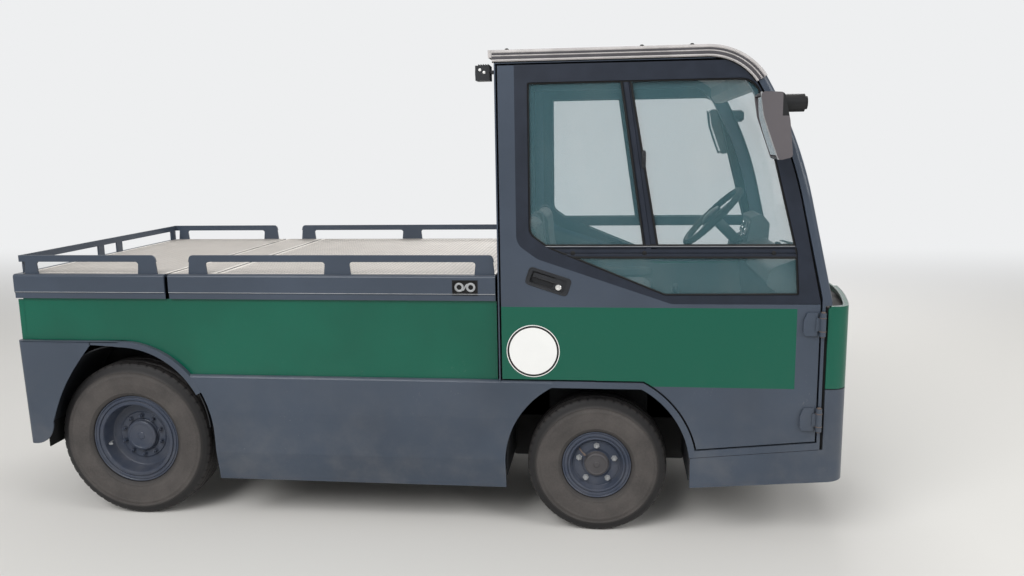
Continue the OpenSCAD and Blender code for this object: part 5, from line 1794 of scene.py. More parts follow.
@dataclass
class Deck:
    """Tread bars, worn strips, seams, latch loops and sill lines of the load deck.

    Attributes:
        level: Height of the plates.
        rear: Ends of the rear plate.
        cover: Ends of the battery cover.
        half: Half the width of the treads.
        pitch: Distance of the bars.
        latch: X and Z of the latches of the cover.
    """

    level: float = 1.022
    rear: tuple[float, float] = (CAB - 1.9255, CAB - 1.3185)
    cover: tuple[float, float] = (CAB - 1.3015, CAB - 0.0105)
    half: float = 0.6190
    pitch: float = 0.0170
    latch: tuple[float, float] = (CAB - 0.125, 0.975)

    def tread(self, x0: float, x1: float) -> Surface:
        """Raised bars of a chequer plate: on a square lattice each bar lies at plus or minus 45 degrees by
        turns.

        Each bar is a pointed lens with a ridge, of six corners and eight triangles.

        Args:
            x0: Rear end.
            x1: Front end.

        Returns:
            The raised bars.
        """
        nx, ny = int((x1 - x0 - 0.03) / self.pitch), int((2 * self.half - 0.02) / self.pitch)
        gx, gy = np.meshgrid(np.arange(nx), np.arange(ny), indexing="ij")
        cx = x0 + (x1 - x0) / 2 + (gx.ravel() - (nx - 1) / 2) * self.pitch
        cy = (gy.ravel() - (ny - 1) / 2) * self.pitch
        turn = np.where((gx.ravel() + gy.ravel()) % 2 == 0, 1, -1) * np.pi / 4
        bar = np.array(
            [
                [-0.0092, 0, 0], [0, -0.0021, 0], [0.0092, 0, 0], [0, 0.0021, 0], [-0.0045, 0, 0.0011],
                [0.0045, 0, 0.0011],
            ]
        )
        c, q = np.cos(turn)[:, None], np.sin(turn)[:, None]
        p = np.stack([
            cx[:, None] + bar[:, 0] * c - bar[:, 1] * q, cy[:, None] + bar[:, 0] * q + bar[:, 1] * c,
            self.level - 0.0001 + bar[:, 2] + 0 * c,
        ], -1)
        tris = np.array(
            [[0, 1, 4], [1, 2, 5], [1, 5, 4], [2, 3, 5], [3, 0, 4], [3, 4, 5], [0, 3, 1], [1, 3, 2]]
        )
        faces = (np.arange(len(cx))[:, None, None] * 6 + tris[None]).reshape(-1, 3)
        return Surface(p.reshape(-1, 3), [faces])

    def strip(self, x0: float, x1: float, y0: float, y1: float, high: float = 0.0014) -> Surface:
        """Flat worn strip on the deck with bevelled edges."""
        return block((x0, y0, self.level - 0.0003), (x1, y1, self.level + high), 0.0006)

    def build(self) -> None:
        """Builds the treads, the strips along their edges, the groove, the latch loops and the sill lines."""
        for name, body, (x0, x1) in (
            ("rear_tread", "tug", self.rear), ("cover_tread", "battery_cover", self.cover)
        ):
            piece(name, self.tread(x0, x1), "bright", body, 80)
            edges = [
                self.strip(x0, x0 + 0.012, -self.half, self.half),
                self.strip(x1 - 0.012, x1, -self.half, self.half),
                self.strip(x0 + 0.012, x1 - 0.012, -self.half, -self.half + 0.008),
                self.strip(x0 + 0.012, x1 - 0.012, self.half - 0.008, self.half),
            ]
            piece(f"{name}_edges", edges, "bright", body, 30)
        x = CAB - 1.114
        groove = [self.strip(x - 0.005, x + 0.005, -self.half + 0.01, self.half - 0.01, 0.0008)]
        piece("cover_groove", groove, "seal", "battery_cover", 30)
        worn = [
            self.strip(x - 0.022, x - 0.006, -self.half + 0.01, self.half - 0.01),
            self.strip(x + 0.006, x + 0.022, -self.half + 0.01, self.half - 0.01),
        ]
        piece("cover_groove_edges", worn, "bright", "battery_cover", 30)
        self.latch_loops()
        self.sill_lines()

    def latch_loops(self) -> None:
        """Two interlocking finger loops in each latch: flattened rings round the eyes of the pan."""
        for side in Side:
            loops = []
            for shift in (-0.022, 0.022):
                t = turns(40)
                cx, cz = self.latch[0] + shift, self.latch[1] + 0.0015
                path = track(
                    cx + 0.0135 * np.cos(t), -0.6422 - 0.0004 * np.sign(shift), cz + 0.0135 * np.sin(t)
                )
                loops.append(sweep(ring_profile(0.0062, 0.0088, 12, 3), path, (0, 1, 0), closed=True))
            cz = self.latch[1] + 0.0015
            u = np.linspace(-1, 1, 12)
            link = track(self.latch[0] + 0.0095 * u, -0.6426, cz + 0.0110 * np.sin(u * np.pi / 2))
            loops.append(sweep(ring_profile(0.0055, 0.0060, 12, 3), link, (0, 1, 0)))
            piece(f"latch_loops_{side.word}", Surface.join(loops).on(side), "pale", "battery_cover", 50)

    def sill_lines(self) -> None:
        """Pale line along the crease at the foot of the sills, where the paint is worn."""
        for side in Side:
            for name, body, x0, x1 in (
                ("rear", "tug", CAB - 1.950, CAB - 1.3185),
                ("cover", "battery_cover", CAB - 1.3015, CAB - 0.0105),
            ):
                x = np.linspace(x0, x1, 10)
                path = track(x, -0.6447, 0.9510)
                line = sweep(ring_profile(0.0014, 0.0022, 8), path, (0, 1, 0))
                piece(f"{name}_sill_line_{side.word}", line.on(side), "pale", body, 60)


@dataclass
class Lamps:
    """Headlamps, tail lamps and work lamps.

    Attributes:
        head_x: X of the head lamps.
        head_y: Their distance from the centre line.
        head_z: Their height.
        tail_x: X of the tail lamps.
        work_x: X of the work lamps.
        work_y: Their distance from the centre line.
    """

    head_x: float = CAB + 1.2959
    head_y: float = 0.430
    head_z: float = 0.490
    tail_x: float = CAB - 1.960
    work_x: float = CAB - 0.070
    work_y: float = 0.600

    def headlamps(self) -> None:
        """Turned pieces about the X axis: a black bezel, a bright bowl, a bulb shield and a fluted domed
        lens."""
        bezels, bowls, lenses = [], [], []
        for y in (-self.head_y, self.head_y):
            base = (self.head_x - 0.036, y, self.head_z)
            ring = rounded_outline([
                [0.0600, 0.030, 0], [0.0695, 0.030, 0], [0.0695, 0.039, 0.004], [0.0655, 0.0418, 0.002],
                [0.0605, 0.0395, 0.002], [0.0590, 0.034, 0.001],
            ], 4)
            t = turns(64)[:, None]
            p = np.stack(
                [
                    base[0] + ring[None, :, 1] + 0 * t, y + ring[None, :, 0] * np.cos(t),
                    self.head_z + ring[None, :, 0] * np.sin(t),
                ], -1,
            )
            bezels.append(grid(p, closed_u=True, closed_v=True))
            r = np.linspace(0.059, 0.008, 16)
            inside = np.column_stack([r, 0.002 + 0.030 * (r / 0.059) ** 2])
            shell = np.concatenate([[[0.0625, 0.0]], [[0.0625, 0.033]], inside])
            bowls.append(lathe(shell, base, (1, 0, 0), 56))
            bowls.append(
                lathe(
                    np.array([[0.012, 0.002], [0.013, 0.022], [0.009, 0.027], [0.001, 0.029]]), base,
                    (1, 0, 0), 24,
                )
            )
            r = np.linspace(0.0595, 0.001, 16)
            dome = np.column_stack([r, 0.0345 + 0.0125 * (1 - (r / 0.0595) ** 2)])
            lenses.append(lathe(np.concatenate([[[0.0595, 0.0325]], dome]), base, (1, 0, 0), 56))
        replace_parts(piece("headlamp_bezels", bezels, "plastic", "tug", 40), "headlamps")
        piece("headlamp_bowls", bowls, "chrome", "tug", 40)
        piece("headlamp_lenses", lenses, "lens", "tug", 50)

    def tail_lamps(self) -> None:
        """Three rounded lens chambers on a black base, on each side of the back."""
        base, red, amber, screws = [], [], [], []
        for y in (-0.490, 0.490):
            base.append(
                pillow((self.tail_x - 0.008, y - 0.060, 0.600), (self.tail_x, y + 0.060, 0.690), 9, 14)
            )
            for k, (a, b) in enumerate(((-0.055, -0.020), (-0.017, 0.017), (0.020, 0.055))):
                lens = pillow(
                    (self.tail_x - 0.0138, y + a, 0.606), (self.tail_x - 0.002, y + b, 0.684), 6, 14
                )
                (amber if (k == 0) == (y < 0) and k != 1 else red).append(lens)
            for q in (-0.0185, 0.0185):
                screws.append(
                    lathe(
                        np.array([[0.0035, 0], [0.0035, 0.001], [0.0022, 0.0022], [0.0004, 0.0026]]),
                        (self.tail_x - 0.008, y + q, 0.645), (-1, 0, 0), 14,
                    )
                )
        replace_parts(piece("tail_lamp_bases", base, "plastic", "tug", 50), "tail_lamps")
        piece("tail_lamp_red_lenses", red, "red", "tug", 50)
        piece("tail_lamp_amber_lenses", amber, "amber", "tug", 50)
        piece("tail_lamp_screws", screws, "chrome", "tug", 40)

    def work_lamps(self) -> None:
        """Round lens in a ring on the rear face of each work lamp, and cooling ribs on its top."""
        glass, ring, ribs, bolts = [], [], [], []
        for y in (-self.work_y, self.work_y):
            base = (self.work_x + 0.0005, y, 1.7585)
            r = np.linspace(0.0205, 0.001, 8)
            glass.append(
                lathe(np.column_stack([r, 0.001 + 0.0022 * (1 - (r / 0.0205) ** 2)]), base, (-1, 0, 0), 32)
            )
            t = turns(40)
            path = track(self.work_x - 0.0002, y + 0.0225 * np.cos(t), 1.7585 + 0.0225 * np.sin(t))
            ring.append(sweep(ring_profile(0.004, 0.004, 8), path, (1, 0, 0), closed=True))
            for x in np.linspace(self.work_x + 0.012, self.work_x + 0.046, 5):
                ribs.append(block((x - 0.0015, y - 0.028, 1.7848), (x + 0.0015, y + 0.028, 1.7895), 0.0006))
            head = np.array([[0.0052, -0.0005], [0.0052, 0.0012], [0.0036, 0.0028], [0.0006, 0.0034]])
            for x, z in ((self.work_x + 0.017, 1.7695), (self.work_x + 0.032, 1.7605)):
                for way in (-1, 1):
                    bolts.append(lathe(head, (x, y + way * 0.032, z), (0, way, 0), 16))
        piece("work_lamp_bolts", bolts, "white", "tug", 40)
        piece("work_lamp_glasses", glass, "glow", "tug", 50)
        piece("work_lamp_rings", ring, "plastic", "tug", 50)
        piece("work_lamp_ribs", ribs, "plastic", "tug", 30)

    def build(self) -> None:
        """Builds all lamps."""
        self.headlamps()
        self.tail_lamps()
        self.work_lamps()


@dataclass
class Screen:
    """Wiper, rubber surround of the windscreen and the one of the rear window.

    Attributes:
        arc: Centre of the arc as X and Z.
        radius: Its radius.
        half: Half the width of the screen.
    """

    arc: tuple[float, float] = (CAB + SCREEN[0], SCREEN[1])
    radius: float = 1.494
    half: float = 0.573

    def at(self, z: np.ndarray, out: float) -> np.ndarray:
        """X of the screen's outer face at heights z, moved outwards; the arc above 1.299, the leaning line
        below.

        Args:
            z: Heights.
            out: Distance that the result moves outwards.

        Returns:
            X at each height.
        """
        r, lean = self.radius + out, LEAN
        top = self.arc[0] + np.sqrt(np.maximum(r**2 - (z - self.arc[1]) ** 2, 0))
        foot = self.arc[0] + r * math.cos(lean), self.arc[1] + r * math.sin(lean)
        low = foot[0] + (foot[1] - z) * math.tan(lean)
        return np.where(z > foot[1], top, low)

    def surround(self) -> None:
        """Rubber bead along both sides and the foot of the windscreen, following its curve."""
        z = np.linspace(0.992, 1.690, 40)
        parts = []
        for side in (-1, 1):
            path = track(self.at(z, 0.001), side * (self.half - 0.004), z)
            parts.append(sweep(ring_profile(0.012, 0.006, 10, 3), path, (0, 1, 0)))
        y = np.linspace(-self.half, self.half, 12)
        parts.append(
            sweep(
                ring_profile(0.010, 0.010, 10, 3), track(self.at(np.array([0.991]), 0.001)[0], y, 0.991),
                (0, 0, 1),
            )
        )
        piece("windscreen_rubber", parts, "seal", "tug", 60)
        y, z0, z1 = 0.470, 1.150, 1.690
        outline = rounded_outline([[-y, z0, 0.05], [y, z0, 0.05], [y, z1, 0.05], [-y, z1, 0.05]], 8)
        path = track(CAB + 0.0015, outline[:, 0], outline[:, 1])
        piece(
            "rear_window_rubber", sweep(ring_profile(0.008, 0.010, 10, 3), path, (1, 0, 0), closed=True),
            "seal", "tug", 60,
        )

    def wiper(self) -> None:
        """Wiper at rest along the foot of the screen: spindle, a bent arm and a blade that hugs the glass."""
        y0, z0 = 0.330, 1.020
        x0 = float(self.at(np.array([z0]), 0.0)[0])
        spindle = lathe(
            np.array([[0.016, 0.0], [0.016, 0.010], [0.011, 0.022], [0.004, 0.026]]), (x0 - 0.004, y0, z0),
            (1, 0, 0.2), 24,
        )
        t = np.linspace(0, 1, 20)
        y, z = y0 - 0.36 * t, z0 + 0.050 * t
        arm = np.column_stack([self.at(z, 0.016) + 0.010 * np.sin(np.pi * t), y, z])
        t = np.linspace(-1, 1, 24)
        y, z = y0 - 0.36 + 0.250 * t, z0 + 0.050 - 0.016 * t
        blade = np.column_stack([self.at(z, 0.005), y, z])
        spine = np.column_stack([self.at(z, 0.012), y, z])
        parts = [
            spindle, sweep(ring_profile(0.012, 0.005, 10, 4), arm, (0, 0, 1)),
            sweep(ring_profile(0.008, 0.004, 8, 4), spine, (0, 0, 1)),
        ]
        piece("wiper_arm", parts, "plastic", "tug", 40)
        piece("wiper_blade", sweep(ring_profile(0.004, 0.010, 8, 4), blade, (0, 0, 1)), "seal", "tug", 40)

    def build(self) -> None:
        """Builds the rubbers and the wiper."""
        self.surround()
        self.wiper()


@dataclass
class Pad:
    """One padded cushion: a rounded slab blown up as cloth, with piping and sewn channels laid on afterwards.

    Attributes:
        name: Name of the piece.
        outline: Side outline, rows of X, Z and corner radius.
        y: Middle of the pad.
        width: Its width.
        seams: Places of the sewn channels, as shares of the width.
    """

    name: str
    outline: Sequence[Sequence[float]]
    y: float
    width: float
    seams: tuple[float, ...] = (-0.27, 0.27)

    def shell(self, inset: float = 0.008) -> Surface:
        """Starting slab: the side outline carried across, drawn in towards both ends along a quarter circle.

        Args:
            inset: Distance that the outline moves inwards.

        Returns:
            The closed slab.
        """
        outline = spread(rounded_outline(self.outline, 6), 0.02)
        half, r = self.width / 2 - inset, 0.030
        a = np.linspace(0, np.pi / 2, 6)
        y = np.concatenate(
            [-half + r - r * np.cos(a), np.linspace(-half + r, half - r, 24)[1:-1], half - r + r * np.sin(a)]
        )
        deep = np.concatenate([r - r * np.sin(a), np.zeros(22), r - r * np.cos(a)])
        p = outline[None] + inward(outline)[None] * (inset + deep[:, None, None])
        points = np.stack([p[..., 0], np.broadcast_to(self.y + y[:, None], p.shape[:2]), p[..., 1]], -1)
        s = grid(points, closed_v=True)
        s.faces = [s.faces[0][:, ::-1]]
        return s.close_ends(len(outline), len(y))

    def blow(self, obj: bpy.types.Object) -> None:
        """Remeshes the slab, lets Blender's cloth swell it for 14 frames, and holds each point to 12 mm of
        travel.

        Args:
            obj: The object of the pad.
        """
        remesh = obj.modifiers.new("voxels", "REMESH")
        remesh.mode, remesh.voxel_size = "VOXEL", 0.009
        bpy.context.view_layer.objects.active = obj
        self.bake(obj)
        start = self.points(obj)
        cloth = obj.modifiers.new("swell", "CLOTH")
        cloth.settings.use_pressure = True
        cloth.settings.uniform_pressure_force = 4.0
        cloth.settings.effector_weights.gravity = 0.0
        cloth.settings.quality = 4
        scene = bpy.context.scene
        for frame in range(1, 15):
            scene.frame_set(frame)
        self.bake(obj)
        scene.frame_set(1)
        move = self.points(obj) - start
        length = np.linalg.norm(move, axis=1, keepdims=True)
        end = start + move * np.minimum(1, 0.012 / np.maximum(length, 1e-9))
        obj.data.vertices.foreach_set("co", end.astype(np.float32).reshape(-1))
        obj.data.update()

    @staticmethod
    def points(obj: bpy.types.Object) -> np.ndarray:
        """Vertices of an object as rows.

        Args:
            obj: The object of the pad.

        Returns:
            One row of X, Y and Z for each vertex.
        """
        out = np.empty(len(obj.data.vertices) * 3, np.float32)
        obj.data.vertices.foreach_get("co", out)
        return out.reshape(-1, 3).astype(float)

    @staticmethod
    def bake(obj: bpy.types.Object) -> None:
        """Replaces an object's mesh by what its modifiers make of it, and drops them.

        Args:
            obj: The object of the pad.
        """
        graph = bpy.context.evaluated_depsgraph_get()
        mesh = bpy.data.meshes.new_from_object(obj.evaluated_get(graph))
        obj.modifiers.clear()
        obj.data = mesh

    def pinch(self, obj: bpy.types.Object) -> None:
        """Presses the sewn channels in: each point near a seam's Y moves inwards by 5.5 mm times a bell.

        Args:
            obj: The object of the pad.
        """
        p = self.points(obj)
        mid = p.mean(0)
        away = p - mid
        away[:, 1] = 0
        size = np.linalg.norm(away, axis=1, keepdims=True)
        depth = np.zeros(len(p))
        for share in self.seams:
            depth = np.maximum(depth, np.exp(-(((p[:, 1] - self.y - share * self.width) / 0.0065) ** 2)))
        p = p - away / np.maximum(size, 1e-6) * (0.0055 * depth)[:, None] * (size > 0.02)
        obj.data.vertices.foreach_set("co", p.astype(np.float32).reshape(-1))
        obj.data.update()

    def build(self) -> bpy.types.Object:
        """Returns:
            The object of the pad.
        """
        obj = piece(self.name, self.shell(), "cloth", "tug", 60)
        self.blow(obj)
        self.pinch(obj)
        obj.data.materials.clear()
        obj.data.materials.append(Finishes.get("cloth"))
        obj.data.shade_smooth()
        smooth = obj.modifiers.new("smooth", "SUBSURF")
        smooth.levels = smooth.render_levels = 1
        return obj


@dataclass
class Seats:
    """Two seats: steel bases, cushions, backs and piping.

    Attributes:
        ys: Middle of each seat across.
        base: Rear and front end of the base.
        low: Underside of the runners.
        top: Height that the outline of the back starts from.
        width: Width of a seat.
        lean: Lean of the backs in degrees.
    """

    ys: tuple[float, float] = (-0.290, 0.290)
    base: tuple[float, float] = (CAB + 0.110, CAB + 0.600)
    low: float = 0.648
    top: float = 0.738
    width: float = 0.430
    lean: float = 8.0

    def back_outline(self) -> list[list[float]]:
        """Side outline of a seat back, leaning to the rear by the lean angle.

        Returns:
            Rows of X, Z and corner radius.
        """
        a = math.radians(self.lean)
        rows = [
            [0.004, 0.008, 0.012], [0.086, 0.008, 0.012], [0.088, 0.144, 0.12], [0.068, 0.298, 0.16],
            [0.078, 0.476, 0.034], [0.010, 0.476, 0.026],
        ]
        return [
            [
                self.base[0] + u * math.cos(a) - v * math.sin(a),
                self.top + u * math.sin(a) + v * math.cos(a), r,
            ] for u, v, r in rows
        ]

    def cushion_outline(self) -> list[list[float]]:
        """Side outline of a seat cushion with a hollow for the thighs and a round front.

        Returns:
            Rows of X, Z and corner radius.
        """
        x0, x1, z = self.base[0] + 0.095, self.base[1] + 0.030, self.top
        return [
            [x0, z + 0.004, 0.010], [x1 - 0.030, z + 0.004, 0.024], [x1, z + 0.050, 0.040],
            [x1 - 0.006, z + 0.108, 0.034], [x1 - 0.130, z + 0.108, 0.120], [x0 + 0.110, z + 0.088, 0.160],
            [x0, z + 0.096, 0.014],
        ]

    def frame(self, y: float) -> list[Surface]:
        """Base of one seat: a box with rounded edges, two runners and a lever under the front edge.

        Args:
            y: Middle of the seat across the tug.

        Returns:
            The base, both runners and the lever.
        """
        x0, x1 = self.base
        h = self.width / 2
        box = block((x0, y - h, self.low + 0.012), (x1, y + h, self.top), 0.006)
        runners = [
            block((x0 + 0.02, y + q - 0.014, self.low), (x1 - 0.02, y + q + 0.014, self.low + 0.013), 0.003)
            for q in (-0.15, 0.15)
        ]
        t = np.linspace(0, 1, 10)
        lever = sweep(
            ring_profile(0.010, 0.010, 10),
            np.column_stack([x1 - 0.010 + 0.034 * t, y - 0.12 + 0.05 * t, self.low + 0.050 + 0.012 * t]),
            (0, 0, 1),
        )
        return [box, *runners, lever]

    def piping(self, outline: Sequence[Sequence[float]], y: float, half: float) -> list[Surface]:
        """Welts round both side faces of a pad, drawn in like the pad's shell.

        Args:
            outline: Rows of X, Z and corner radius.
            y: Middle of the seat across the tug.
            half: Half the distance of the two cords.

        Returns:
            Two cords.
        """
        path = spread(rounded_outline(outline, 6), 0.02)
        path = path + 0.012 * inward(path)
        # the tight corners shrink to a point when drawn in, and only one point of each stays
        path = path[np.linalg.norm(path - np.roll(path, 1, 0), axis=1) > 0.001]
        return [
            sweep(ring_profile(0.007, 0.007, 8), loop_at(path, y + q), (0, 1, 0), closed=True)
            for q in (-half, half)
        ]

    def build(self) -> None:
        """Builds both seats; together they stand for the plain node."""
        bases: list[Surface] = []
        welts: list[Surface] = []
        for k, y in enumerate(self.ys):
            bases += self.frame(y)
            side = "right" if k == 0 else "left"
            Pad(f"seat_cushion_{side}", self.cushion_outline(), y, self.width + 0.014).build()
            Pad(f"seat_back_{side}", self.back_outline(), y, self.width - 0.002).build()
            welts += self.piping(self.cushion_outline(), y, self.width / 2 - 0.012)
            welts += self.piping(self.back_outline(), y, self.width / 2 - 0.020)
        piece("seat_piping", welts, "pale_trim", "tug", 60)
        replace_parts(piece("seat_bases", bases, "plastic", "tug", 30), "seats")


@dataclass
class Interior:
    """Instruments, switches, levers, pedal rubbers, floor mat and the steering wheel's trim.

    Attributes:
        wheel: Middle of the steering wheel.
        dash_x: X of the dash.
        dash_z: Its height.
    """

    wheel: tuple[float, float, float] = (CAB + 0.883, 0.285, 1.160)
    dash_x: float = CAB + 1.144
    dash_z: float = 1.078

    def gauges(self) -> None:
        """Round dials with blank faces on the instrument housing and rocker switches on the dashboard."""
        rings, faces, hands, rockers = [], [], [], []
        way = np.array([-0.94, 0.0, 0.34])
        for dy, r in ((-0.062, 0.030), (0.020, 0.038), (0.092, 0.022)):
            at = np.array([self.dash_x - 0.1125, self.wheel[1] + dy, self.dash_z + 0.030])
            rings.append(
                lathe(
                    np.array(
                        [
                            [r * 1.12, -0.006], [r * 1.12, 0.003], [r * 1.02, 0.005], [r * 0.99, 0.003],
                            [r * 0.98, -0.004],
                        ]
                    ), at, way, 36,
                )
            )
            faces.append(lathe(np.array([[r, -0.004], [r, 0.0005], [0.001, 0.0006]]), at, way, 32))
            hands.append(lathe(np.array([[0.005, 0.0005], [0.005, 0.003], [0.001, 0.004]]), at, way, 16))
            tilt = np.array([0.34, 0, 0.94])
            tip = at + way * 0.002
            t = np.linspace(0, 1, 4)[:, None]
            hands.append(
                sweep(
                    ring_profile(0.003, 0.0015, 6), tip + t * r * 0.8 * (tilt * 0.8 + np.array([0, 0.6, 0])),
                    way,
                )
            )
        for k in range(5):
            y = -0.06 + 0.036 * k
            rockers.append(
                pillow(
                    (self.dash_x - 0.162, y - 0.012, self.dash_z - 0.086),
                    (self.dash_x - 0.150, y + 0.012, self.dash_z - 0.056), 5, 10,
                )
            )
        piece("gauge_rings", rings, "chrome", "tug", 40)
        piece("gauge_faces", faces, "ink", "tug", 40)
        piece("gauge_hands", hands, "pale", "tug", 40)
        piece("rocker_switches", rockers, "plastic", "tug", 50)

    def levers(self) -> None:
        """Parking lever between the seats and the direction lever on the column, each a bent rod with a
        knob."""
        t = np.linspace(0, 1, 16)
        low = np.column_stack([CAB + 0.640 + 0.060 * t, 0 * t, 0.640 + 0.210 * t + 0.02 * np.sin(np.pi * t)])
        parts = [sweep(ring_profile(0.014, 0.014, 12), low, (0, 1, 0))]
        knobs = [pillow(low[-1] - [0.017, 0.017, 0.006], low[-1] + [0.017, 0.017, 0.040], 2.4, 14)]
        foot = np.array([self.wheel[0] + 0.035, self.wheel[1], self.wheel[2] - 0.035])
        rod = foot + np.column_stack([0.02 * t, 0.135 * t, 0.035 * t**2])
        parts.append(sweep(ring_profile(0.008, 0.008, 10), rod, (1, 0, 0)))
        knobs.append(pillow(rod[-1] - [0.010, 0.006, 0.010], rod[-1] + [0.010, 0.026, 0.010], 2.4, 12))
        piece("lever_rods", parts, "steel", "tug", 50)
        piece("lever_knobs", knobs, "plastic", "tug", 60)
        boot = rounded_outline(
            [
                [0.045, 0.0, 0.002], [0.040, 0.018, 0.006], [0.024, 0.024, 0.004], [0.020, 0.038, 0.004],
                [0.010, 0.046, 0.002],
            ], 3,
        )
        piece("lever_boot", lathe(boot, (CAB + 0.640, 0, 0.648), (0.15, 0, 1), 28), "seal", "tug", 50)

    def pedals(self) -> None:
        """Ribbed rubbers on the pedals, the ribs across each pad."""
        parts = []
        a = math.radians(62)
        along, out = np.array([math.cos(a), 0, math.sin(a)]), np.array([-math.sin(a), 0, math.cos(a)])
        for y in (self.wheel[1] - 0.075, self.wheel[1] + 0.035):
            base = np.array([self.dash_x - 0.126, y, self.dash_z - 0.597]) + out * 0.0026
            for q in np.linspace(-0.034, 0.034, 7):
                t = np.linspace(-0.024, 0.024, 4)
                path = base + along * q + np.column_stack([0 * t, t, 0 * t])
                parts.append(sweep(ring_profile(0.004, 0.006, 8), path, along))
        piece("pedal_rubbers", parts, "seal", "tug", 50)

    def mat(self) -> None:
        """Rubber floor mat with raised ribs along X and a turned-up edge."""
        x = np.linspace(CAB + 0.735, CAB + 1.175, 40)
        y = np.linspace(-0.565, 0.565, 240)
        gx, gy = np.meshgrid(x, y, indexing="ij")
        rib = 0.0016 * (np.sin(gy * 2 * np.pi / 0.0235) > 0.2)
        edge = np.clip((np.abs(gy) - 0.553) / 0.006, 0, 1) * 0.008
        top = np.stack([gx, gy, 0.3735 + rib + edge], -1)
        low = np.stack([gx, gy, np.full_like(gx, 0.3703)], -1)
        piece("floor_mat", slab(top, low), "seal", "tug", 25)

    def wheel_trim(self) -> None:
        """Grip of the steering wheel, thicker than the bare rim and with finger waves, and its horn pad."""
        a = math.radians(45)
        ex, ez = np.array([math.cos(a), 0, math.sin(a)]), np.array([-math.sin(a), 0, math.cos(a)])
        ey = np.array([0, 1.0, 0])
        u = turns(120)[:, None, None]
        v = turns(16)[None, :, None]
        fat = 0.0152 + 0.0008 * np.cos(30 * u)
        ring = (0.166 + fat * np.cos(v)) * (ex * np.cos(u) + ey * np.sin(u)) + fat * np.sin(v) * ez
        grip = grid(np.array(self.wheel) + ring, closed_u=True, closed_v=True)
        piece("steering_grip", grip, "seal", "steering_wheel", 50)
        pad = rounded_outline(
            [[0.052, 0.0, 0.0], [0.052, 0.014, 0.008], [0.030, 0.022, 0.006], [0.001, 0.023, 0.0]], 4
        )
        piece(
            "horn_pad", lathe(pad, np.array(self.wheel) + ez * 0.004, ez, 40), "plastic", "steering_wheel", 50
        )

    def build(self) -> None:
        """Builds what is seen through the glass."""
        self.gauges()
        self.levers()
        self.pedals()
        self.mat()
        self.wheel_trim()


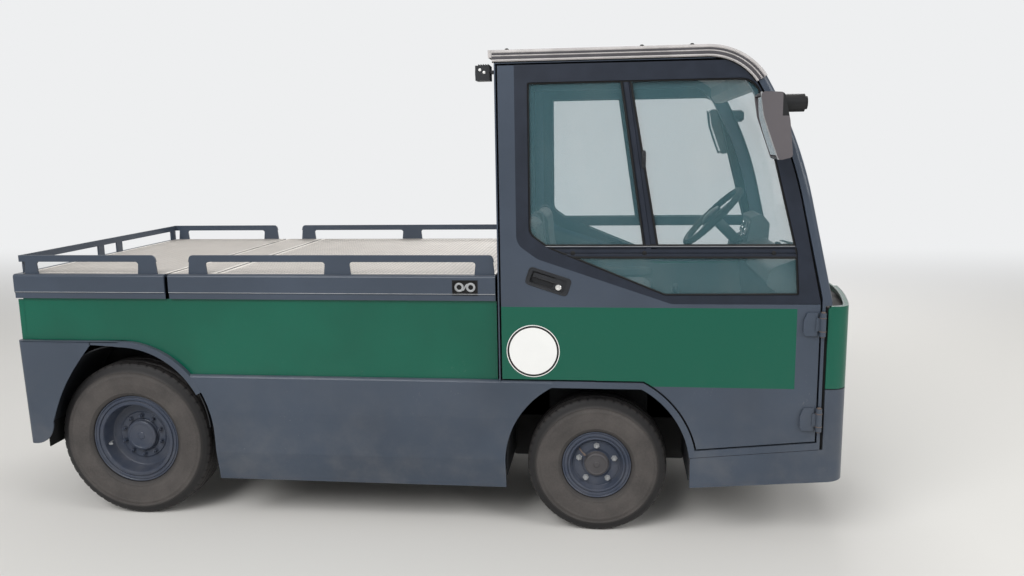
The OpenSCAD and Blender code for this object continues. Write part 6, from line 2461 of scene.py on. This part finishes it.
@dataclass
class Fenders:
    """Rear fenders: a sheet with the wheel arch, a tight rear corner, a ledge on top and the lip over the
    wheel.

    Attributes:
        axle_x: Rear axle.
        rear: Rear face at the top of the sheet.
        taper: How far the foot of the rear face leans forward.
        corner: Radius of the rear corner in plan.
        low: Foot of the sheet.
        top: Upper face of the ledge.
        leg: Front edge of the leg behind the wheel, and the radius of its foot.
        peak: Corner of the arch at its upper rear end, X and Z.
        back_y: Where the sheet ends on the back.
        sheet: Thickness.
    """

    axle_x: float = REAR_X
    rear: float = CAB - 1.965
    taper: float = 0.012
    corner: float = 0.022
    low: float = 0.320
    top: float = 0.752
    leg: tuple[float, float] = (CAB - 1.842, 0.090)
    peak: tuple[float, float] = (CAB - 1.649, 0.739)
    back_y: float = 0.400
    sheet: float = 0.005

    def plan(self) -> tuple[np.ndarray, np.ndarray, np.ndarray]:
        """Walks along the sheet seen from above: side, rear corner, back.

        Returns:
            Points of X and Y, the inward direction at each, and the lower edge of the sheet there.
        """
        x_leg, r_leg = self.leg
        foot = self.low + r_leg
        # the arch behind the wheel bulges 24 mm to the rear of the straight line between its two ends
        t = np.linspace(0, 1, 30)
        arch_x = self.peak[0] + (x_leg - self.peak[0]) * t - 0.024 * np.sin(np.pi * t)
        arch_z = self.peak[1] + (foot + 0.004 - self.peak[1]) * t
        keep = np.concatenate([[True], np.diff(np.minimum.accumulate(arch_x)) < 0])
        arch_x, arch_z = arch_x[keep], arch_z[keep]
        phi = np.linspace(np.pi / 2, 0, 14)
        foot_x, foot_z = x_leg - r_leg + r_leg * np.sin(phi), foot - r_leg * np.cos(phi)
        last = arch_x.min()
        foot_x, foot_z = foot_x[foot_x < last], foot_z[foot_x < last]
        phi = np.linspace(0, np.pi / 2, 10)
        turn_x, turn_y = self.rear + self.corner, -HALF_W + self.corner
        back = np.linspace(turn_y, -self.back_y, 12)[1:]
        side_x = np.concatenate([arch_x, foot_x])
        x = np.concatenate([side_x, turn_x - self.corner * np.sin(phi), np.full(11, self.rear)])
        y = np.concatenate([np.full(len(side_x), -HALF_W), turn_y - self.corner * np.cos(phi), back])
        low = np.concatenate([arch_z, foot_z, np.full(21, self.low)])
        inward = np.concatenate([
            np.tile([0.0, 1.0], (len(side_x), 1)), np.column_stack([np.sin(phi), np.cos(phi)]),
            np.tile([1.0, 0.0], (11, 1)),
        ])
        return np.column_stack([x, y]), inward, low

    def skin(self) -> Surface:
        """Sheet: for each place of the plan a column from the lower edge to the ledge, the rear face leaning
        forward.

        Returns:
            The sheet.
        """
        at, inward, low = self.plan()
        v = np.linspace(0, 1, 12)[None, :]
        z = low[:, None] + (self.top - 0.003 - low[:, None]) * v
        share = np.clip((self.leg[0] - at[:, 0]) / (self.leg[0] - self.rear), 0, 1)[:, None]
        lean = self.taper * share * (self.top - z) / (self.top - self.low)
        faces = []
        for deep in (0.0, self.sheet):
            p = at + inward * deep
            faces.append(np.stack([p[:, :1] + lean, p[:, 1:] + 0 * z, z], -1))
        return slab(*faces)

    def ledge(self) -> Surface:
        """Ledge: a flat strip with a rounded outer edge, carried along the plan from above the axle to the
        back.

        Returns:
            The ledge.
        """
        at, _, _ = self.plan()
        start = np.column_stack([np.linspace(self.axle_x, self.peak[0] + 0.004, 6), np.full(6, -HALF_W)])
        path = np.concatenate([start, at])
        path = np.column_stack([path, np.full(len(path), self.top)])
        profile = np.array(
            [[-0.005, 0.0], [-0.0022, 0.0], [-0.0006, 0.0006], [0.0, 0.0022], [0.0, 0.028], [-0.005, 0.028]]
        )
        return sweep(profile, path, (0, 0, 1))

    def lip(self) -> Surface:
        """Lip: a ring sector over the front half of the wheel that runs on flat to the rear corner of the
        arch.

        Returns:
            The lip.
        """
        a0, a1 = math.radians(27), math.radians(90)
        t = np.linspace(a0, a1, 24)
        inner, outer = 0.350, 0.374
        rows = [
            np.column_stack([self.axle_x + outer * np.cos(t), 0.380 + outer * np.sin(t)]),
            [
                [self.peak[0] - 0.004, 0.7519], [self.peak[0] - 0.004, self.peak[1] - 0.001],
                [self.axle_x - 0.03, self.peak[1] - 0.006],
            ],
            np.column_stack([self.axle_x + inner * np.cos(t[::-1]), 0.380 + inner * np.sin(t[::-1])]),
        ]
        outline = np.concatenate([np.array(q) for q in rows])
        outline[:, 1] = np.minimum(outline[:, 1], 0.7519)
        return prism(outline, -HALF_W, -HALF_W + 0.020)

    def build(self) -> None:
        """Builds both fenders and the rear ends of the green panels above them."""
        for side in Side:
            parts = Surface.join([self.skin(), self.ledge(), self.lip()]).on(side)
            fender = piece(f"rear_fender_{side.word}_sheet", parts, "slate", "tug", 30)
            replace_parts(fender, f"rear_fender_{side.word}")
            end = block(
                (CAB - 1.952, -HALF_W + 0.020, self.top + 0.001), (CAB - 1.9292, -HALF_W + 0.026, 0.9185), 0
            )
            piece(f"side_panel_end_{side.word}", end.on(side), "green", "tug", 30)


@dataclass
class Aprons:
    """Black plates that close the wheel arches inboard of the wheels, before and behind each axle; painted
    shade: dark sheets that stand for the shadowed underside of the tug.

    Attributes:
        front: X of the front axle, distance across and reach of the front plates.
        rear: The same of the rear ones.
        clear: Clearance round the wheels.
        low: Lower edge.
        high: Upper edge.
    """

    front: tuple[float, float, float] = (FRONT_X, 0.2575, 0.372)
    rear: tuple[float, float, float] = (REAR_X, 0.3020, 0.400)
    clear: float = 0.205
    low: float = 0.185
    high: float = 0.560

    def build(self) -> None:
        """Builds the plates with rounded lower corners that hang from the wheelhouses; their black is painted
        shade.
        """
        for name, (x, y, reach) in (("front", self.front), ("rear", self.rear)):
            for side in Side:
                parts = []
                for a, b in ((x - reach, x - self.clear), (x + self.clear, x + reach)):
                    rows = [
                        [a, self.low, 0.03], [b, self.low, 0.03], [b, self.high, 0.01], [a, self.high, 0.01]
                    ]
                    parts.append(prism(rounded_outline(rows, 5), -y - 0.0015, -y + 0.0015))
                if name == "rear":
                    # flap that carries the wheelhouse on down behind the wheel, black as painted shade
                    x0, y1 = x - 0.3536, -y + 0.002
                    parts.append(block((x0, -HALF_W + 0.020, 0.300), (x0 + 0.004, y1, 0.404), 0.001))
                # the black finish paints the shade under the tug behind the wheels
                piece(f"{name}_aprons_{side.word}", Surface.join(parts).on(side), "seal", "tug", 30)


@dataclass
class Nose:
    """Worn rim lines along the top of the nose and the seam between nose and bumper.

    Attributes:
        bow: Radius of the bowed front.
        front: X of the front.
        corner: Corner radius.
        top: Height of the top.
    """

    bow: float = 2.735
    front: float = CAB + 1.342
    corner: float = 0.062
    top: float = 0.914

    def plan(self, inset: float, x0: float, count: int = 40) -> np.ndarray:
        """Line round the nose seen from above: side, round corner, bowed front, round corner, side.

        Args:
            inset: How far inside the outline.
            x0: Where both sides end at the rear.
            count: Points along the bowed front.

        Returns:
            Rows of X and Y.
        """
        centre = self.front - self.bow
        y = HALF_W - self.corner
        x = centre + math.sqrt((self.bow - self.corner) ** 2 - y**2)
        limit = math.atan2(y, x - centre)
        t = np.linspace(-np.pi / 2, -limit, 12)
        r = self.corner - inset
        round_off = np.column_stack([x + r * np.cos(t), -y + r * np.sin(t)])
        a = np.linspace(-limit, limit, count)[1:-1]
        front = np.column_stack([centre + (self.bow - inset) * np.cos(a), (self.bow - inset) * np.sin(a)])
        half = np.concatenate([[[x0, -HALF_W + inset]], round_off])
        return np.concatenate([half, front, (half * [1, -1])[::-1]])

    def build(self) -> None:
        """Builds two thin rim lines and the dark seam over the bumper."""
        lines = []
        for inset, drop in ((0.0012, 0.0002), (0.0165, 0.0002)):
            xy = self.plan(inset, CAB + 1.216)
            for sign in (-1, 1):
                part = xy[(xy[:, 1] * sign > 0.186)]
                part = part[np.argsort(part[:, 1] * sign)] if sign > 0 else part
                path = np.column_stack([part, np.full(len(part), self.top - drop)])
                lines.append(sweep(ring_profile(0.0024, 0.0024, 8), path, (0, 0, 1)))
        piece("nose_rim_lines", lines, "pale", "tug", 60)
        xy = self.plan(0.004, CAB + 1.1935)
        path = np.column_stack([xy, np.full(len(xy), 0.6083)])
        piece("nose_seam", sweep(ring_profile(0.0036, 0.006, 8), path, (0, 0, 1)), "seal", "tug", 60)


@dataclass
class Coupling:
    """Ring handle and washers on the pin of the rear coupling.

    Attributes:
        x: X of the coupling.
        z: Its height.
        jaws: Heights of the jaws.
    """

    x: float = CAB - 1.990
    z: float = 0.646
    jaws: tuple[float, ...] = (0.366, 0.436, 0.506, 0.576)

    def build(self) -> None:
        """Builds the fittings."""
        t = turns(32)
        ring = np.column_stack([self.x + 0 * t, 0.022 * np.cos(t), self.z + 0.020 + 0.022 * np.sin(t)])
        parts = [sweep(ring_profile(0.006, 0.006, 10), ring, (1, 0, 0), closed=True)]
        washer = np.array([[0.0185, 0], [0.0195, 0.001], [0.0195, 0.0025], [0.0185, 0.0035]])
        parts += [lathe(washer, (self.x, 0, q + 0.0305), (0, 0, 1), 28) for q in self.jaws]
        piece("coupling_fittings", parts, "steel", "tug", 50)


CAD_FINISHES = {
    "slate": [
        "mid_skirt_right", "mid_skirt_left", "rear_fender_right", "rear_fender_left", "rear_deck",
        "rear_rails",
        "battery_cover", "cover_rails", "cab_frame_right", "cab_frame_left", "cab_rear_wall", "front_bumper",
    ],
    "door": ["door_right", "door_left"],
    "green": ["side_panel_right", "side_panel_left", "nose_panel"],
    "rim": ["front_rim_right", "front_rim_left", "rear_rim_right", "rear_rim_left"],
    "black": [
        "chassis_frame", "drive_motor", "rear_axle", "front_axle", "cab_floor", "rear_coupling",
        "front_coupling",
    ],
    "steel": ["knuckle_right", "knuckle_left", "tie_rod"],
    "deck": ["rear_deck_plate", "cover_plate"],
    "roof": ["roof"],
    "plastic": ["wheelhouses", "work_lamps", "door_handles_right", "door_handles_left", "steering_wheel"],
    "mirror_shell": ["mirror_right", "mirror_left"],
    "dark": ["door_window_frame_right", "door_window_frame_left"],
    "seal": ["cover_latches", "cowl"],
    "grey": ["dashboard"],
    "battery": ["battery"],
    "tyre": ["front_tyre_right", "front_tyre_left", "rear_tyre_right", "rear_tyre_left"],
    "pane": ["rear_window", "windscreen", "door_glass_right", "door_glass_left"],
    "lens": ["headlamps"],
    "red": ["tail_lamps"],
    "cloth": ["seats"],
}


def dress_frame(frame: dict) -> None:
    """Gives every CAD node its finish.
    """
    for key, nodes in CAD_FINISHES.items():
        for node in nodes:
            data = frame["nodes"][node].data
            data.materials.clear()
            data.materials.append(Finishes.get(key))
            data.set_sharp_from_angle(angle=math.radians(30))
            LOG.info("node %s: finish %s", node, key)


@dataclass
class Studio:
    """Floor, lamps and the camera at the photograph's place and angle.

    Attributes:
        camera_at: Place of the camera.
        yaw: Turn of its view in radians.
        pitch: Its downward lean.
        roll: Its roll.
        focal_px: Focal length in pixels.
    """

    camera_at: tuple[float, float, float] = (CAB + 0.43147, -3.78165, 1.50302)
    yaw: float = -0.1200
    pitch: float = 0.1654
    roll: float = -0.0153
    focal_px: float = 860.0

    def camera(self) -> None:
        """Moulded panel on the inside of the door with an armrest."""
        cy, sy, cp, sp = math.cos(self.yaw), math.sin(self.yaw), math.cos(self.pitch), math.sin(self.pitch)
        cr, sr = math.cos(self.roll), math.sin(self.roll)
        ahead, right, up = np.array([sy, cy, 0]), np.array([cy, -sy, 0]), np.array([0, 0, 1.0])
        look, top = ahead * cp - up * sp, up * cp + ahead * sp
        axes = np.column_stack([right * cr + top * sr, top * cr - right * sr, -look])
        data = bpy.data.cameras.new("camera")
        data.sensor_width = SENSOR_MM
        data.lens = self.focal_px * SENSOR_MM / IMAGE_W
        data.clip_start, data.clip_end = 0.05, 60
        obj = bpy.data.objects.new("camera", data)
        m = np.eye(4)
        m[:3, :3], m[:3, 3] = axes, self.camera_at
        obj.matrix_world = Matrix(m.tolist())
        bpy.context.scene.collection.objects.link(obj)
        bpy.context.scene.camera = obj

    def floor(self) -> None:
        """Lays a pale floor that curves up into a backdrop: a plane, a quarter circle and a wall."""
        t = np.linspace(0, np.pi / 2, 16)
        r, back = 2.5, 9.0
        y = np.concatenate([[-14.0], back + r * np.sin(t), [back + r]])
        z = np.concatenate([[0.0], r - r * np.cos(t), [9.0]])
        x = np.linspace(-16, 16, 3)
        p = np.stack(np.broadcast_arrays(x[:, None], y[None, :], z[None, :]), -1)
        surface = grid(np.ascontiguousarray(p))
        obj = bpy.data.objects.new("floor", to_mesh("floor", surface))
        bpy.context.scene.collection.objects.link(obj)
        g = Graph("floor")
        g.set(Base_Color=(*linear(222, 220, 216), 1.0), Roughness=0.9)
        # the wall shows as an even pale sheet to the camera, in gloss and through glass; the floor keeps its
        # shadow
        rays = g.tree.nodes.new("ShaderNodeLightPath")
        seen = g.math("MAXIMUM", rays.outputs["Is Camera Ray"], rays.outputs["Is Glossy Ray"])
        seen = g.math("MAXIMUM", seen, rays.outputs["Is Transmission Ray"])
        sheet = g.tree.nodes.new("ShaderNodeEmission")
        sheet.inputs["Color"].default_value = (*linear(238, 239, 240), 1.0)
        mixed = g.tree.nodes.new("ShaderNodeMixShader")
        far = g.math("MAXIMUM", g.ramp(g.axis("Z"), 0.0, 1.2), g.ramp(g.axis("Y"), 2.0, 9.0))
        g.tree.links.new(g.math("MULTIPLY", seen, far), mixed.inputs[0])
        g.tree.links.new(g.shader.outputs[0], mixed.inputs[1])
        g.tree.links.new(sheet.outputs[0], mixed.inputs[2])
        output = next(n for n in g.tree.nodes if n.type == "OUTPUT_MATERIAL")
        g.tree.links.new(mixed.outputs[0], output.inputs[0])
        obj.data.materials.append(g.material)
        obj.data.shade_smooth()

    def lamp(self, name: str, at: Sequence[float], aim: Sequence[float], size: float, watts: float) -> None:
        """Adds a square area lamp.

        Args:
            name: Name of the lamp.
            at: Its place.
            aim: The point it faces.
            size: Length of its side.
            watts: Its power.
        """
        data = bpy.data.lights.new(name, "AREA")
        data.size, data.energy = size, watts
        obj = bpy.data.objects.new(name, data)
        back = np.array(at, float) - np.array(aim, float)
        back /= np.linalg.norm(back)
        right = np.cross([0, 0, 1.0], back)
        right /= np.linalg.norm(right)
        m = np.eye(4)
        m[:3, :3], m[:3, 3] = np.column_stack([right, np.cross(back, right), back]), at
        obj.matrix_world = Matrix(m.tolist())
        bpy.context.scene.collection.objects.link(obj)

    def build(self) -> None:
        """Builds the studio."""
        world = bpy.data.worlds.new("studio")
        bpy.context.scene.world = world
        world.use_nodes = True
        tree = world.node_tree
        sky = tree.nodes["Background"]
        sky.inputs[0].default_value = (*linear(238, 239, 240), 1.0)
        # half strength for light on the tug, full strength where the camera or a ray through glass sees the
        # sky
        rays, either, level = (
            tree.nodes.new(k) for k in ("ShaderNodeLightPath", "ShaderNodeMath", "ShaderNodeMapRange")
        )
        either.operation = "MAXIMUM"
        tree.links.new(rays.outputs["Is Camera Ray"], either.inputs[0])
        tree.links.new(rays.outputs["Is Transmission Ray"], either.inputs[1])
        level.inputs["To Min"].default_value, level.inputs["To Max"].default_value = 0.5, 1.0
        tree.links.new(either.outputs[0], level.inputs["Value"])
        tree.links.new(level.outputs[0], sky.inputs[1])
        self.lamp("key", (-2.5, -6.0, 5.5), (0, 0, 0.8), 4.5, 400)
        self.lamp("side", (6.0, -3.5, 4.0), (0.5, 0, 0.8), 3.5, 180)
        self.lamp("rim", (1.0, 5.5, 5.0), (0, 0, 1.0), 4.0, 220)
        self.floor()
        self.camera()
        bpy.context.scene.view_settings.view_transform = "Standard"


def main() -> None:
    """Builds the studio and dresses the tug, one sub-assembly after the other."""
    logging.basicConfig(level=logging.INFO, format="%(message)s", stream=sys.stdout)
    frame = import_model()
    Studio().build()
    dress_frame(frame)
    Wheels().build()
    Roof().build()
    Doors().build()
    Deck().build()
    Lamps().build()
    Screen().build()
    Seats().build()
    Interior().build()
    Fenders().build()
    Aprons().build()
    Nose().build()
    Coupling().build()


if __name__ == "__main__":
    main()
